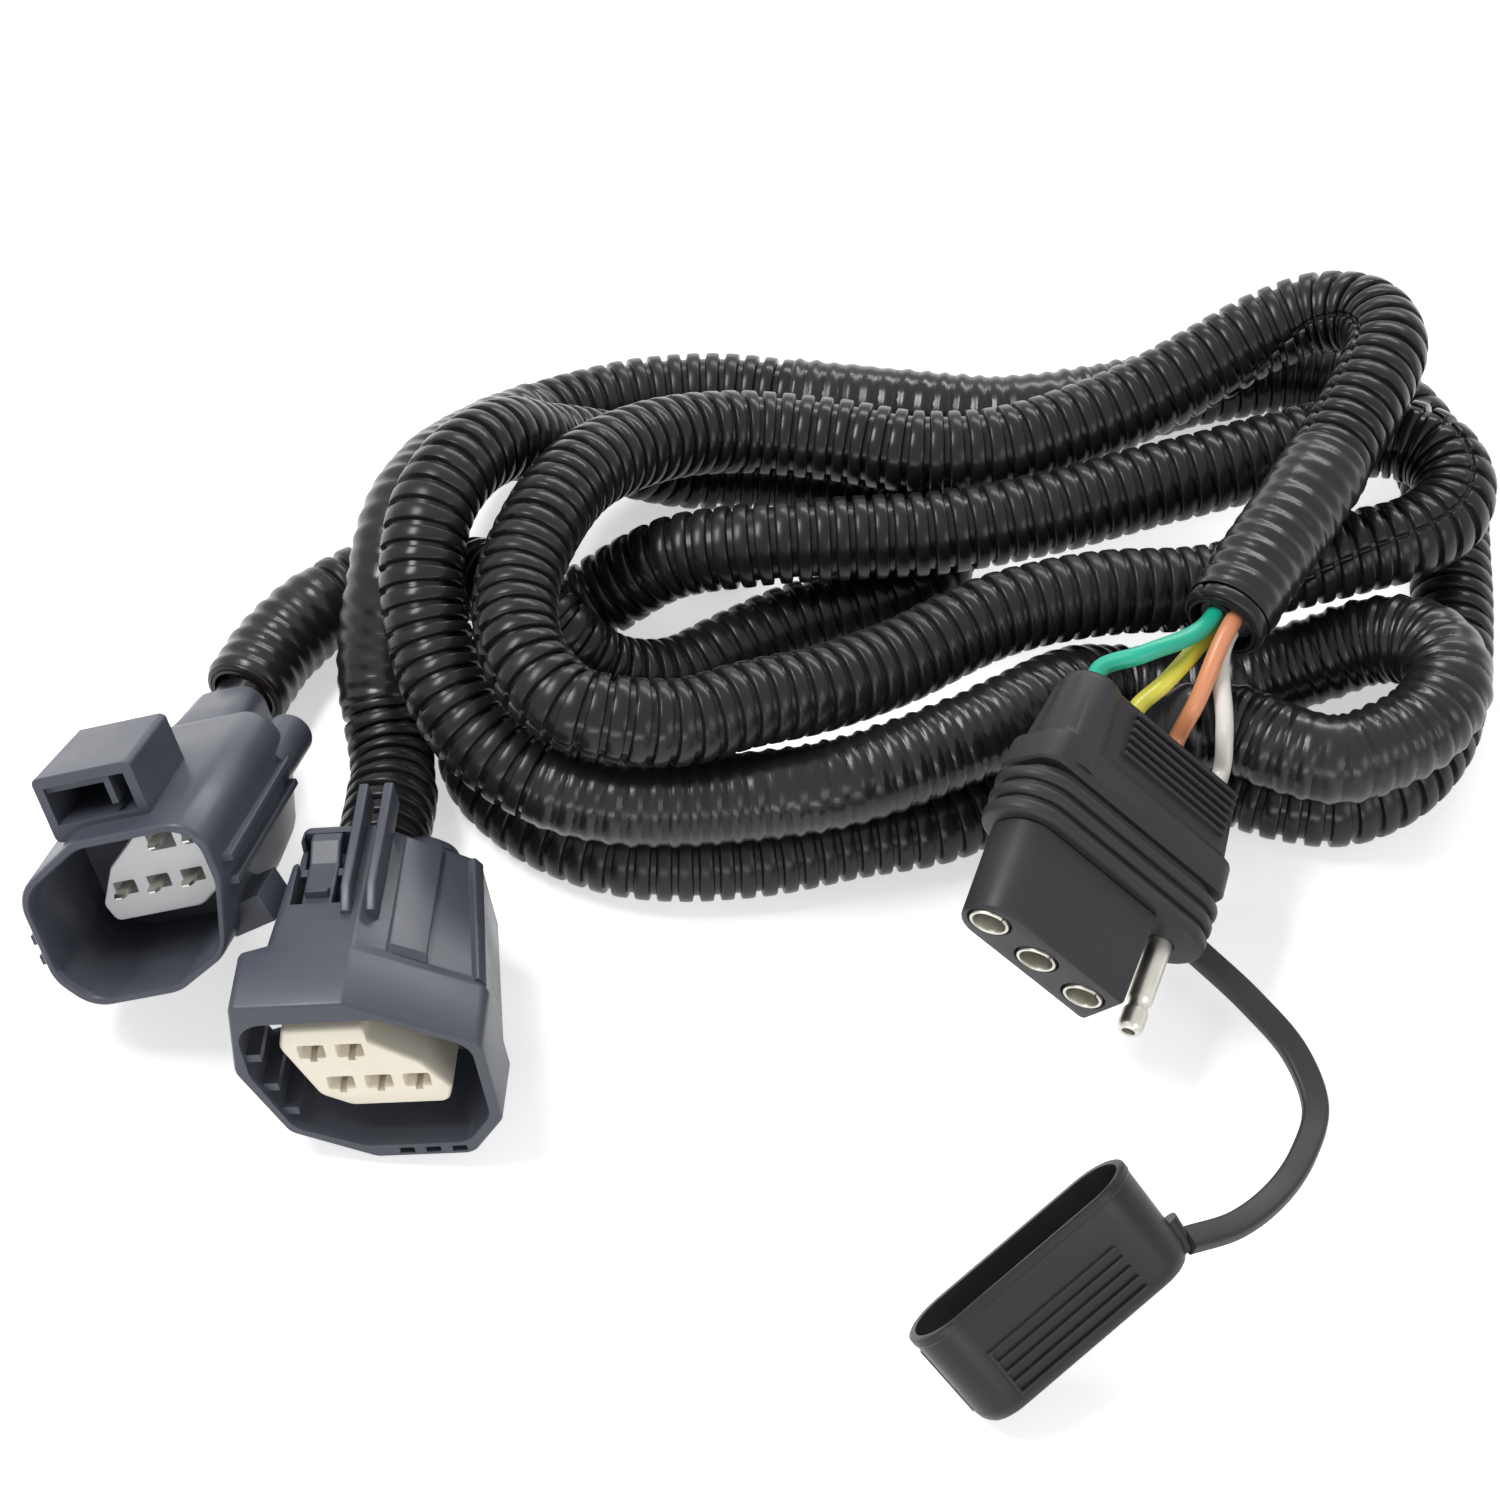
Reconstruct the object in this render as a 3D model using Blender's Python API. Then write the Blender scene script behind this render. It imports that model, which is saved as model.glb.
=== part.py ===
"""Trailer wiring harness: a four-way flat trailer plug with its tethered dust cap, a trunk of corrugated split
loom laid up as a hank, and two taped legs that end in a mating pair of sealed five-way vehicle connectors.

Lengths are in millimetres and scaled to metres where a mesh is made. +Z is up. Every moulded piece is drawn
in its connector's own frame: +Y is the way that the connector mates, +Z its top, X its width."""

import math

import bmesh
import bpy
from mathutils import Matrix, Vector

MM = 0.001
GAP = 0.3  # between pieces that touch

# Where the harness lies: shifts the whole layout so that the origin is under the middle of the rigid pieces
LAYOUT_SHIFT = (13.05, 58.4, 0.4)

# Four-way flat plug
CONTACT_PITCH = 11.8
CONTACT_COUNT = 4
PIN_DIAMETER = 4.6
SLEEVE_DIAMETER = 7.0
SLEEVE_WALL = 0.7
SLEEVE_DEPTH = 14.5
SLEEVE_PROUD = 0.4
NOSE_LENGTH = 18.0
NOSE_THICKNESS = 13.0
NOSE_LEFT = 22.2
NOSE_RIGHT = -12.6
NOSE_SLANT = 2.4
FLANGE_WIDTH = 50.0
FLANGE_THICKNESS = 17.0
FLANGE_FRONT = 4.0
REAR_LENGTH = 27.0
GRIP_RIDGES = 6
GRIP_PITCH = 1.6
WIRE_DIAMETER = 3.2
WIRE_COLOURS = ("green", "yellow", "brown", "white")
WIRE_BOWS = (2.4, 2.4, 2.4, 4.2)
WIRE_RISES = (1.0, 1.0, 1.0, 2.6)

# Dust cap and its strap
CAP_WIDTH = 45.8
CAP_THICKNESS = 16.2
CAP_DEPTH = 19.5
CAP_WALL = 1.5
CAP_RIDGES = 5
STRAP_WIDTH = 4.6
STRAP_THICKNESS = 3.0

# Loom, tape and wires
LOOM_DIAMETER = 15.4
LOOM_VALLEY_DEPTH = 1.0
LOOM_WALL = 1.3
TAPE_DIAMETER = 16.6
TAPE_WALL = 0.9
RIB_PITCH = 16.0

# Five-way sealed vehicle connectors: the pin shroud enters the socket collar
SHROUD_WIDTH = 38.0
SHROUD_HEIGHT = 31.0
SHROUD_RADIUS = 8.0
SHROUD_WALL = 1.7
SHROUD_DEPTH = 25.0
PIN_BODY_LENGTH = 44.0
MATING_CLEARANCE = 0.4
COLLAR_DEPTH = 21.0
SOCKET_BODY_LENGTH = 41.0
CAVITY_PITCH = 6.6
ROW_PITCH = 8.2
TERMINAL_WIDTH = 2.3
TERMINAL_THICKNESS = 0.8
INSERT_TRAVEL = 1.5

# Each frame: location (mm), then heading, pitch and roll (degrees)
PLUG_POSE = ((59.7, -36.9, 32.2), (160.0, -5.5, -44.5))
CAP_POSE = ((49.8, -109.2, 14.7), (230.0, -35.8, 22.5))
SOCKET_POSE = ((-64.6, -72.9, 21.2), (176.0, 9.0, 9.0))
PIN_POSE = ((-105.0, -47.7, 34.0), (166.0, 25.0, 25.0))

# Centre lines of the looms, point by point in the order that they were laid, floor up
TRUNK_ROUTE = [
    (82, 6, 44), (90, 20, 44), (99, 35, 43.5), (107, 50, 42.5), (113, 62, 42), (116.5, 73, 40.5), (114, 82, 37.5),
    (106, 86, 34), (96, 84, 31), (84, 78, 28), (73, 72, 26), (60, 66, 25), (46, 61, 25), (32, 60, 25),
    (15, 63, 25), (-1, 64, 26), (-11, 61, 29), (-21, 54, 34), (-31, 42, 40), (-37, 29, 43), (-41, 14, 43.5),
    (-38, -3, 44), (-31, -11, 43.5), (-22, -13, 42.5), (-12, -12, 40.5), (-1, -7, 38.5), (12, -1.3, 35.3),
    (24, 6, 32), (45, 19, 30.2), (63, 25, 28.4), (81, 28, 26), (97, 31.5, 27), (110, 35, 27.6), (120, 38.5, 27.4),
    (127, 44.5, 26.5), (129, 52, 26), (126, 59.5, 25.5), (118.5, 63.5, 25), (109, 63, 25), (98, 60, 25),
    (86, 56, 25), (73, 52, 25), (55, 46, 25), (32, 41, 25), (18, 40, 25), (-1, 39, 24), (-15, 39, 20),
    (-27, 36, 13), (-37, 31, 9), (-45, 23, 8), (-49, 12, 8), (-48, 1, 8), (-40, -9, 8), (-25, -17, 8),
    (-1, -18, 8), (20, -13.5, 8), (34, -10.5, 8), (44, -6, 8), (51, -3.8, 8), (58, -3.8, 8)]
SOCKET_LEG_ROUTE = [
    (79, -2, 8), (85, -2.1, 8), (95, -5.6, 8), (105, -7, 8), (115, -3, 8), (123, 6, 8), (127, 18, 8), (129, 32, 8),
    (130, 48, 8), (130, 65, 8), (126, 79, 8), (117, 89, 8), (103, 93, 8), (86, 90, 8), (67, 85, 8),
    (47, 82, 8), (27, 84, 8), (10, 86, 8), (-5, 88, 8), (-20, 87, 8), (-32, 83, 9), (-43, 75, 13),
    (-52, 64, 20), (-58.8, 51, 27), (-62.7, 40, 29.3), (-64.5, 30, 27), (-66.5, 20, 18), (-66, 11, 12),
    (-64.4, 2, 9.5), (-63.9, -7, 10.2), (-64.5, -14, 11.3), (-65, -21, 12.4)]
PIN_LEG_ROUTE = [
    (79, -2, 25), (85, -2.1, 25), (94, -6.6, 25), (103, -9, 25), (113, -5.6, 25), (120.7, 0.2, 25.3), (124.3, 8.5, 25.5),
    (121.6, 16.4, 24), (114, 20.5, 20.4), (102, 19.3, 15.8), (89, 16, 13), (76, 15.2, 12),
    (66, 14.4, 13.5), (58, 10.2, 19), (50, 3.2, 23.6), (42, -2.5, 25), (31, -8, 25), (16, -14, 25), (-1, -17, 25), (-14, -18, 25), (-25, -18, 26),
    (-39, -14, 28), (-50, -5, 31), (-56, 8, 35), (-58, 20, 40), (-56.5, 32, 43.4), (-51.5, 43, 42.9),
    (-45, 52, 38.5), (-37.5, 59.5, 28), (-27, 65, 19), (-13, 68.5, 10), (4, 69, 8), (17, 67, 8), (27.5, 63.5, 8),
    (34, 56.5, 8), (34.3, 47.5, 8), (28, 40.5, 8), (18.5, 36.5, 8), (8, 33, 8), (-3, 27, 8), (-14, 20.5, 8.5), (-25, 17.5, 13.5),
    (-36, 21, 22.5), (-43, 28, 25), (-49, 34, 20.5), (-54.5, 38.5, 14.5), (-62, 42.5, 9.5), (-70.5, 42.5, 8.2), (-79, 36.5, 8.2),
    (-87, 27, 8.2), (-92, 16, 9)]
STRAP_ROUTE = [(78.2, -42.8, 14.0), (87, -50, 10), (94, -58, 7), (97, -68, 6), (94, -79, 8), (88, -89, 11),
               (81, -96, 14), (74, -100, 17)]


# ---------------------------------------------------------------- scene helpers

def clear_scene():
    for obj in list(bpy.data.objects):
        bpy.data.objects.remove(obj, do_unlink=True)


def new_collection(name):
    collection = bpy.data.collections.new(name)
    bpy.context.scene.collection.children.link(collection)
    return collection


def material(name, colour, roughness, metallic=0.0):
    made = bpy.data.materials.new(name)
    made.use_nodes = True
    shader = made.node_tree.nodes["Principled BSDF"]
    shader.inputs["Base Color"].default_value = (*colour, 1.0)
    shader.inputs["Roughness"].default_value = roughness
    shader.inputs["Metallic"].default_value = metallic
    made.diffuse_color = (*colour, 1.0)
    return made


def frame_matrix(pose):
    """World matrix of a connector: turned to its heading, then pitched, then rolled about its own mating axis."""
    place, (heading, pitch, roll) = pose
    turn = (Matrix.Rotation(math.radians(heading), 4, "Z") @ Matrix.Rotation(math.radians(pitch), 4, "X")
            @ Matrix.Rotation(math.radians(roll), 4, "Y"))
    shifted = [(a + b) * MM for a, b in zip(place, LAYOUT_SHIFT)]
    return Matrix.Translation(shifted) @ turn


def frame_empty(name, pose):
    empty = bpy.data.objects.new(name, None)
    empty.empty_display_size = 0.02
    empty.matrix_world = frame_matrix(pose)
    parts.objects.link(empty)
    return empty


def finish_mesh(name, mesh_data, parent, finish, cutter=False):
    """Turns a bmesh drawn in millimetres into an object under its connector's frame."""
    bmesh.ops.recalc_face_normals(mesh_data, faces=mesh_data.faces)
    bmesh.ops.scale(mesh_data, vec=(MM, MM, MM), verts=mesh_data.verts)
    mesh = bpy.data.meshes.new(name)
    mesh_data.to_mesh(mesh)
    mesh_data.free()
    obj = bpy.data.objects.new(name, mesh)
    obj.parent = parent
    if cutter:
        obj.hide_render = True
        obj.display_type = "WIRE"
        cutters.objects.link(obj)
        return obj
    mesh.materials.append(finish)
    parts.objects.link(obj)
    mesh.shade_smooth()
    mesh.set_sharp_from_angle(angle=math.radians(35))
    return obj


def boolean(obj, other, operation):
    modifier = obj.modifiers.new(f"{operation.lower()}_{other.name}", "BOOLEAN")
    modifier.operation = operation
    modifier.object = other


# ---------------------------------------------------------------- outlines and solids

def rounded_outline(corners, radii, steps=3):
    """A closed outline through the corners, each rounded by an arc; corners are (x, z) pairs in order."""
    points = []
    count = len(corners)
    if not isinstance(radii, (list, tuple)):
        radii = [radii] * count
    for index, corner in enumerate(corners):
        here = Vector(corner)
        before = Vector(corners[index - 1]) - here
        after = Vector(corners[(index + 1) % count]) - here
        half_angle = before.angle(after) / 2
        reach = min(radii[index] / math.tan(half_angle), before.length * 0.49, after.length * 0.49)
        radius = reach * math.tan(half_angle)
        middle = here + (before.normalized() + after.normalized()).normalized() * radius / math.sin(half_angle)
        start = here + before.normalized() * reach - middle
        end = here + after.normalized() * reach - middle
        turn = start.angle_signed(end)
        for step in range(steps + 1):
            angle = -turn * step / steps
            points.append((middle.x + start.x * math.cos(angle) - start.y * math.sin(angle),
                           middle.y + start.x * math.sin(angle) + start.y * math.cos(angle)))
    return points


def rectangle(width, height, radius, centre=(0.0, 0.0), steps=3):
    x, z = centre
    corners = [(x - width / 2, z - height / 2), (x + width / 2, z - height / 2),
               (x + width / 2, z + height / 2), (x - width / 2, z + height / 2)]
    return rounded_outline(corners, min(radius, width / 2, height / 2), steps)


def circle(radius, centre=(0.0, 0.0), sides=16):
    return [(centre[0] + radius * math.cos(2 * math.pi * step / sides),
             centre[1] + radius * math.sin(2 * math.pi * step / sides)) for step in range(sides)]


def loft(name, sections, parent, finish=None, cutter=False):
    """A closed solid through outlines of equal point count; each section is (y, outline)."""
    solid = bmesh.new()
    rings = [[solid.verts.new((x, y, z)) for x, z in outline] for y, outline in sections]
    for ring, following in zip(rings, rings[1:]):
        for index in range(len(ring)):
            other = (index + 1) % len(ring)
            solid.faces.new((ring[index], ring[other], following[other], following[index]))
    solid.faces.new(rings[0])
    solid.faces.new(rings[-1])
    return finish_mesh(name, solid, parent, finish, cutter)


def prism(name, outline, start, end, parent, finish=None, cutter=False):
    return loft(name, [(start, outline), (end, outline)], parent, finish, cutter)


def block(name, low, high, parent, finish=None, cutter=False, turn=0.0):
    """A box between two corners, turned about its own Y axis."""
    solid = bmesh.new()
    bmesh.ops.create_cube(solid, size=1.0)
    size = [b - a for a, b in zip(low, high)]
    middle = [(a + b) / 2 for a, b in zip(low, high)]
    bmesh.ops.scale(solid, vec=size, verts=solid.verts)
    bmesh.ops.rotate(solid, matrix=Matrix.Rotation(math.radians(turn), 3, "Y"), verts=solid.verts)
    bmesh.ops.translate(solid, vec=middle, verts=solid.verts)
    return finish_mesh(name, solid, parent, finish, cutter)


def turned(name, profile, centre, parent, finish, sides=20):
    """A solid of revolution about an axis along Y; the profile runs (radius, y) from axis to axis."""
    solid = bmesh.new()
    rings = []
    for radius, y in profile:
        if radius == 0:
            rings.append([solid.verts.new((centre[0], y, centre[1]))])
        else:
            rings.append([solid.verts.new((x, y, z)) for x, z in circle(radius, centre, sides)])
    for ring, following in zip(rings, rings[1:]):
        for index in range(sides):
            other = (index + 1) % sides
            corners = [ring[index % len(ring)], ring[other % len(ring)],
                       following[other % len(following)], following[index % len(following)]]
            solid.faces.new(list(dict.fromkeys(corners)))
    return finish_mesh(name, solid, parent, finish)


# ---------------------------------------------------------------- routes and tubes

def shift(route):
    return [Vector(point) + Vector(LAYOUT_SHIFT) for point in route]


def smooth_route(route, spacing):
    """Points at an even spacing on a centripetal curve through the route's own points."""
    ends = [route[0] * 2 - route[1]] + list(route) + [route[-1] * 2 - route[-2]]
    fine = []
    for p0, p1, p2, p3 in zip(ends, ends[1:], ends[2:], ends[3:]):
        a, b, c = (p1 - p0).length ** 0.5, (p2 - p1).length ** 0.5, (p3 - p2).length ** 0.5
        leave = ((p1 - p0) / a ** 2 - (p2 - p0) / (a ** 2 + b ** 2) + (p2 - p1) / b ** 2) * b ** 2
        arrive = ((p2 - p1) / b ** 2 - (p3 - p1) / (b ** 2 + c ** 2) + (p3 - p2) / c ** 2) * b ** 2
        for step in range(16):
            t = step / 16
            fine.append(p1 * (2 * t ** 3 - 3 * t ** 2 + 1) + leave * (t ** 3 - 2 * t ** 2 + t)
                        + p2 * (3 * t ** 2 - 2 * t ** 3) + arrive * (t ** 3 - t ** 2))
    fine.append(route[-1])
    along = [0.0]
    for first, second in zip(fine, fine[1:]):
        along.append(along[-1] + (second - first).length)
    count = max(2, round(along[-1] / spacing))
    points, index = [], 0
    for step in range(count + 1):
        target = along[-1] * step / count
        while index < len(fine) - 2 and along[index + 1] < target:
            index += 1
        span = along[index + 1] - along[index]
        points.append(fine[index].lerp(fine[index + 1], (target - along[index]) / span))
    return points, along[-1]


def tube_mesh(name, points, radii, finish=None, cutter=False, resolution=2):
    """A round tube as a mesh with closed ends: a POLY curve with a bevel, its caps welded."""
    curve = bpy.data.curves.new(name, "CURVE")
    curve.dimensions = "3D"
    curve.bevel_depth = MM
    curve.bevel_resolution = resolution
    curve.use_fill_caps = True
    spline = curve.splines.new("POLY")
    spline.points.add(len(points) - 1)
    for point, place, radius in zip(spline.points, points, radii):
        point.co = (*(place * MM), 1.0)
        point.radius = radius
    guide = bpy.data.objects.new(name + "_curve", curve)
    parts.objects.link(guide)
    bpy.context.view_layer.update()
    mesh = bpy.data.meshes.new_from_object(guide.evaluated_get(bpy.context.evaluated_depsgraph_get()))
    bpy.data.objects.remove(guide, do_unlink=True)
    bpy.data.curves.remove(curve)
    welded = bmesh.new()
    welded.from_mesh(mesh)
    bmesh.ops.remove_doubles(welded, verts=welded.verts, dist=0.00002)
    bpy.data.meshes.remove(mesh)
    bmesh.ops.scale(welded, vec=(1 / MM, 1 / MM, 1 / MM), verts=welded.verts)
    return finish_mesh(name, welded, None, finish, cutter)


def least_gap(points, diameter):
    """The smallest distance between the walls of two stretches of one tube, more than three diameters apart."""
    spacing = (points[1] - points[0]).length
    apart = int(3 * diameter / spacing)
    return min(((first - second).length - diameter) for index, first in enumerate(points)
               for second in points[index + apart:])


def thinned(points, tolerance):
    """The fewest of the points whose chords stay within the tolerance of the rest."""
    kept = [0]
    while kept[-1] < len(points) - 1:
        first = kept[-1]
        last = first + 1
        while last + 1 < len(points):
            chord = points[last + 1] - points[first]
            strays = [(point - points[first] - chord * ((point - points[first]).dot(chord) / chord.length_squared))
                      for point in points[first + 1:last + 1]]
            if max(stray.length for stray in strays) > tolerance:
                break
            last += 1
        kept.append(last)
    return [points[index] for index in kept]


def hollow_tube(name, points, radii, bore, bore_radius, finish, sides=2):
    """A tube with an open bore, cut by a plain tube that runs past both ends."""
    outer = tube_mesh(name, points, radii, finish)
    bore = ([bore[0] + (bore[0] - bore[1]).normalized() * 2] + bore[1:-1]
            + [bore[-1] + (bore[-1] - bore[-2]).normalized() * 2])
    cutter = tube_mesh(name + "_bore", bore, [bore_radius] * len(bore), cutter=True, resolution=sides)
    boolean(outer, cutter, "DIFFERENCE")
    return outer


def stretch(count, start, end):
    """The first and last point of a share of a route that has this many points."""
    return round(start * (count - 1)), round(end * (count - 1))


def taped_loom(name, route, wraps):
    """Corrugated loom, each rib a crest point and a valley point of the tube, and a close sleeve for each tape wrap
    on it. Under tape the loom is drawn plain."""
    points, length = smooth_route(route, RIB_PITCH / 2)
    crest = LOOM_DIAMETER / 2
    radii = [crest if index % 2 else crest - LOOM_VALLEY_DEPTH for index in range(len(points))]
    inside = TAPE_DIAMETER / 2 - TAPE_WALL
    for wrap_name, (start, end) in wraps.items():
        first, last = stretch(len(points), start, end)
        plain = range(max(first - 2, 0), min(last + 3, len(points)))
        radii[plain.start:plain.stop] = [inside - 1.0] * len(plain)
        covered = points[first:last + 1]
        hollow_tube(wrap_name, covered, [TAPE_DIAMETER / 2] * len(covered), covered, inside, tape_black)
    print(f"{name}: {length:.0f} mm, least gap to itself {least_gap(points, LOOM_DIAMETER):.2f} mm")
    bore = thinned(points, LOOM_WALL / 3)
    return hollow_tube(name, points, radii, bore, crest - LOOM_VALLEY_DEPTH - LOOM_WALL, loom_black, sides=1)


# ---------------------------------------------------------------- four-way flat plug

def contact_x(index):
    """Contact 0 is at the left end of the row, seen from above with the nose to the viewer."""
    return CONTACT_PITCH * ((CONTACT_COUNT - 1) / 2 - index)


def build_plug():
    frame = frame_empty("plug_frame", PLUG_POSE)
    flange = FLANGE_WIDTH, FLANGE_THICKNESS
    groove = FLANGE_WIDTH - 2.4, FLANGE_THICKNESS - 2.4
    neck = FLANGE_WIDTH - 6, FLANGE_THICKNESS - 4.4
    steps = [(-REAR_LENGTH, (37, 10.5)), (-REAR_LENGTH + 1, (39.5, 12.5)), (-14.0, (43, 13.6)),
             (-13.2, (46, 14.4)), (-7.4, (47, 14.8)), (-7.0, neck), (-5.6, neck), (-5.2, flange), (-3.2, flange),
             (-2.8, groove), (-2.0, groove), (-1.6, flange), (0.0, flange), (0.4, groove), (1.2, groove),
             (1.6, flange), (FLANGE_FRONT - 0.6, flange), (FLANGE_FRONT, groove)]
    sections = [(y, rectangle(w, h, 3.6 if y < -7.2 else h / 2 - 0.3)) for y, (w, h) in steps]
    overmold = loft("plug_overmold", sections, frame, soft_black)
    boss = loft("wire_boss_join", [(-REAR_LENGTH - 0.8, circle(4.6, (contact_x(0) - 2.0, 1.4))),
                                   (-REAR_LENGTH + 1, circle(5.6, (contact_x(0) - 2.0, 1.4))),
                                   (-9.0, circle(6.8, (contact_x(0) - 2.0, 1.0)))], frame, cutter=True)
    boolean(overmold, boss, "UNION")
    for side, face in (("top", 1), ("under", -1)):
        for index in range(GRIP_RIDGES):
            y = -REAR_LENGTH + 1.4 + GRIP_PITCH * index
            ridge = block(f"grip_ridge_{side}_{index}", (-17.5, y, face * 6.2 - 1.2), (8.8, y + 0.9, face * 6.2 + 1.2),
                          frame, cutter=True)
            boolean(overmold, ridge, "UNION")
    seat = prism("pin_seat_cut", circle(PIN_DIAMETER / 2 + GAP, (contact_x(3), 0)), FLANGE_FRONT - 4,
                 FLANGE_FRONT + 1, frame, cutter=True)
    boolean(overmold, seat, "DIFFERENCE")

    base = FLANGE_FRONT + GAP
    tip = FLANGE_FRONT + NOSE_LENGTH
    half = NOSE_THICKNESS / 2

    def nose_outline(inset):
        corners = [(NOSE_RIGHT + inset, -half + inset), (NOSE_LEFT - inset, -half + inset),
                   (NOSE_LEFT - inset, half - inset), (NOSE_RIGHT + NOSE_SLANT + inset, half - inset)]
        return rounded_outline(corners, [0.8, 5.6, 5.6, 0.8])

    nose = loft("plug_nose", [(base, nose_outline(0.0)), (tip - 0.8, nose_outline(0.25)),
                              (tip, nose_outline(0.7))], frame, soft_black)
    sleeve = SLEEVE_DIAMETER / 2
    for index in range(CONTACT_COUNT - 1):
        centre = (contact_x(index), 0.0)
        hole = prism(f"sleeve_hole_{index + 1}", circle(sleeve + GAP, centre), tip - SLEEVE_DEPTH - GAP, tip + 2,
                     frame, cutter=True)
        boolean(nose, hole, "DIFFERENCE")
        bore = sleeve - SLEEVE_WALL
        turned(f"socket_sleeve_{index + 1}",
               [(0, tip - SLEEVE_DEPTH), (sleeve, tip - SLEEVE_DEPTH), (sleeve, tip + SLEEVE_PROUD),
                (bore, tip + SLEEVE_PROUD), (bore, tip - SLEEVE_DEPTH + 1.5), (0, tip - SLEEVE_DEPTH + 1.5)],
               centre, frame, tin)
    pin = PIN_DIAMETER / 2
    start = FLANGE_FRONT - 4 + GAP
    turned("bullet_pin", [(0, start), (pin, start), (pin, tip - 6.2), (pin - 0.5, tip - 5.6), (pin - 0.5, tip - 4.6),
                          (pin, tip - 4.0), (pin, tip - 0.9), (pin - 0.45, tip), (pin - 1.1, tip),
                          (pin - 1.1, tip - 2.5), (0, tip - 2.5)], (contact_x(3), 0.0), frame, tin, sides=24)
    return frame


def build_plug_wires():
    """Four wires run from the back of the plug and gather 2 by 2 in the mouth of the loom."""
    to_world = frame_matrix(PLUG_POSE)
    loom = shift(TRUNK_ROUTE[:2])
    inward = (loom[1] - loom[0]).normalized()
    side = inward.cross(Vector((0, 0, 1))).normalized()
    up = side.cross(inward)
    spread = WIRE_DIAMETER * 0.62
    corners = [(-1, 1), (-1, -1), (1, 1), (1, -1)]
    for index, (colour, (across, rise)) in enumerate(zip(WIRE_COLOURS, corners)):
        x = CONTACT_PITCH * 0.89 * (1.5 - index)
        depth = 1.4 if index == 0 else GAP
        start = to_world @ (Vector((x, -REAR_LENGTH - depth, WIRE_RISES[index])) * MM) / MM
        leave = to_world @ (Vector((x, -REAR_LENGTH - depth - 2, WIRE_RISES[index])) * MM) / MM
        mouth = loom[0] + side * across * spread + up * rise * spread
        bow = start.lerp(mouth, 0.4) + Vector((0, -0.57, 0.82)) * WIRE_BOWS[index]
        route = [start, leave, bow, mouth - inward * 3, mouth + inward * 10]
        points = thinned(smooth_route(route, 2.5)[0], 0.12)
        tube_mesh(f"wire_{colour}", points, [WIRE_DIAMETER / 2] * len(points), wire_paint[colour])


# ---------------------------------------------------------------- dust cap and strap

def build_cap():
    frame = frame_empty("cap_frame", CAP_POSE)
    half = CAP_DEPTH / 2
    cap = loft("dust_cap", [(-half, rectangle(CAP_WIDTH, CAP_THICKNESS, 8)),
                            (-half + 1, rectangle(CAP_WIDTH, CAP_THICKNESS, 8)),
                            (half - 2.2, rectangle(CAP_WIDTH - 1.4, CAP_THICKNESS - 1.2, 7)),
                            (half, rectangle(CAP_WIDTH - 4.5, CAP_THICKNESS - 4.5, 5.4))], frame, cap_rubber)
    hollow = loft("cap_hollow", [(-half - 1, rectangle(CAP_WIDTH - 2 * CAP_WALL, CAP_THICKNESS - 2 * CAP_WALL, 6.4)),
                                 (half - 1.8, rectangle(CAP_WIDTH - 2 * CAP_WALL - 1.2,
                                                        CAP_THICKNESS - 2 * CAP_WALL - 0.8, 6))], frame, cutter=True)
    for index in range(CAP_RIDGES):
        y = -0.6 + 1.9 * index
        ridge = block(f"cap_ridge_{index}", (-12, y, CAP_THICKNESS / 2 - 2.4),
                      (12, y + 0.7, CAP_THICKNESS / 2 + 0.35), frame, cutter=True)
        boolean(cap, ridge, "UNION")
    web = loft("cap_web_join", [(half - 6.5, rectangle(5, 4.0, 1.6, (-CAP_WIDTH / 2 + 1.2, 0))),
                                (half - 0.6, rectangle(8, 4.6, 1.6, (-CAP_WIDTH / 2 + 3.4, 0)))], frame, cutter=True)
    boolean(cap, web, "UNION")
    boolean(cap, hollow, "DIFFERENCE")


def build_strap():
    """A flat moulded strap, swept along its route with its broad side up."""
    route, _ = smooth_route(shift(STRAP_ROUTE), 7.0)
    outline = rectangle(STRAP_WIDTH, STRAP_THICKNESS, 0.8, steps=1)
    solid = bmesh.new()
    rings = []
    for index, point in enumerate(route):
        ahead = (route[min(index + 1, len(route) - 1)] - route[max(index - 1, 0)]).normalized()
        across = ahead.cross(Vector((0.0, 0.0, 1.0))).normalized()
        upward = across.cross(ahead)
        rings.append([solid.verts.new(point + across * x + upward * z) for x, z in outline])
    for ring, following in zip(rings, rings[1:]):
        for index in range(len(ring)):
            other = (index + 1) % len(ring)
            solid.faces.new((ring[index], ring[other], following[other], following[index]))
    solid.faces.new(rings[0])
    solid.faces.new(rings[-1])
    return finish_mesh("cap_strap", solid, None, soft_black)


# ---------------------------------------------------------------- sealed vehicle connectors

# Seen along the mating axis, as (x, z) corners: the outside of the socket's collar, the mating outline that the
# pin shroud fills and the collar clears, and the outline of the socket's insert
COLLAR_CORNERS = [(16, -12), (2, -19.5), (-15, -19.5), (-21.5, -11), (-21.5, 9), (0, 20.5), (19.5, 20.5), (22, 4)]
COLLAR_RADII = [3, 3, 3, 3, 3, 1.5, 1.5, 4]
MATING_CORNERS = [(14.5, -10.5), (3, -16), (-14, -16), (-19, -9.5), (-19, 8), (-5, 15.5), (19, 15.5), (19, 3)]
MATING_RADII = [5, 5, 5, 5, 5, 5, 5, 6]
INSERT_CORNERS = [(14, 7), (9.5, -5.5), (4.5, -8.6), (-12.4, -8.6), (-13.6, -5.0), (-9.5, 1.8), (-1.4, 8.0),
                  (-1.4, 11.2), (12.8, 11.2)]


def scaled(corners, across, up):
    return [(x * across, z * up) for x, z in corners]


def mirrored(corners):
    return [(-x, z) for x, z in reversed(corners)]


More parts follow.
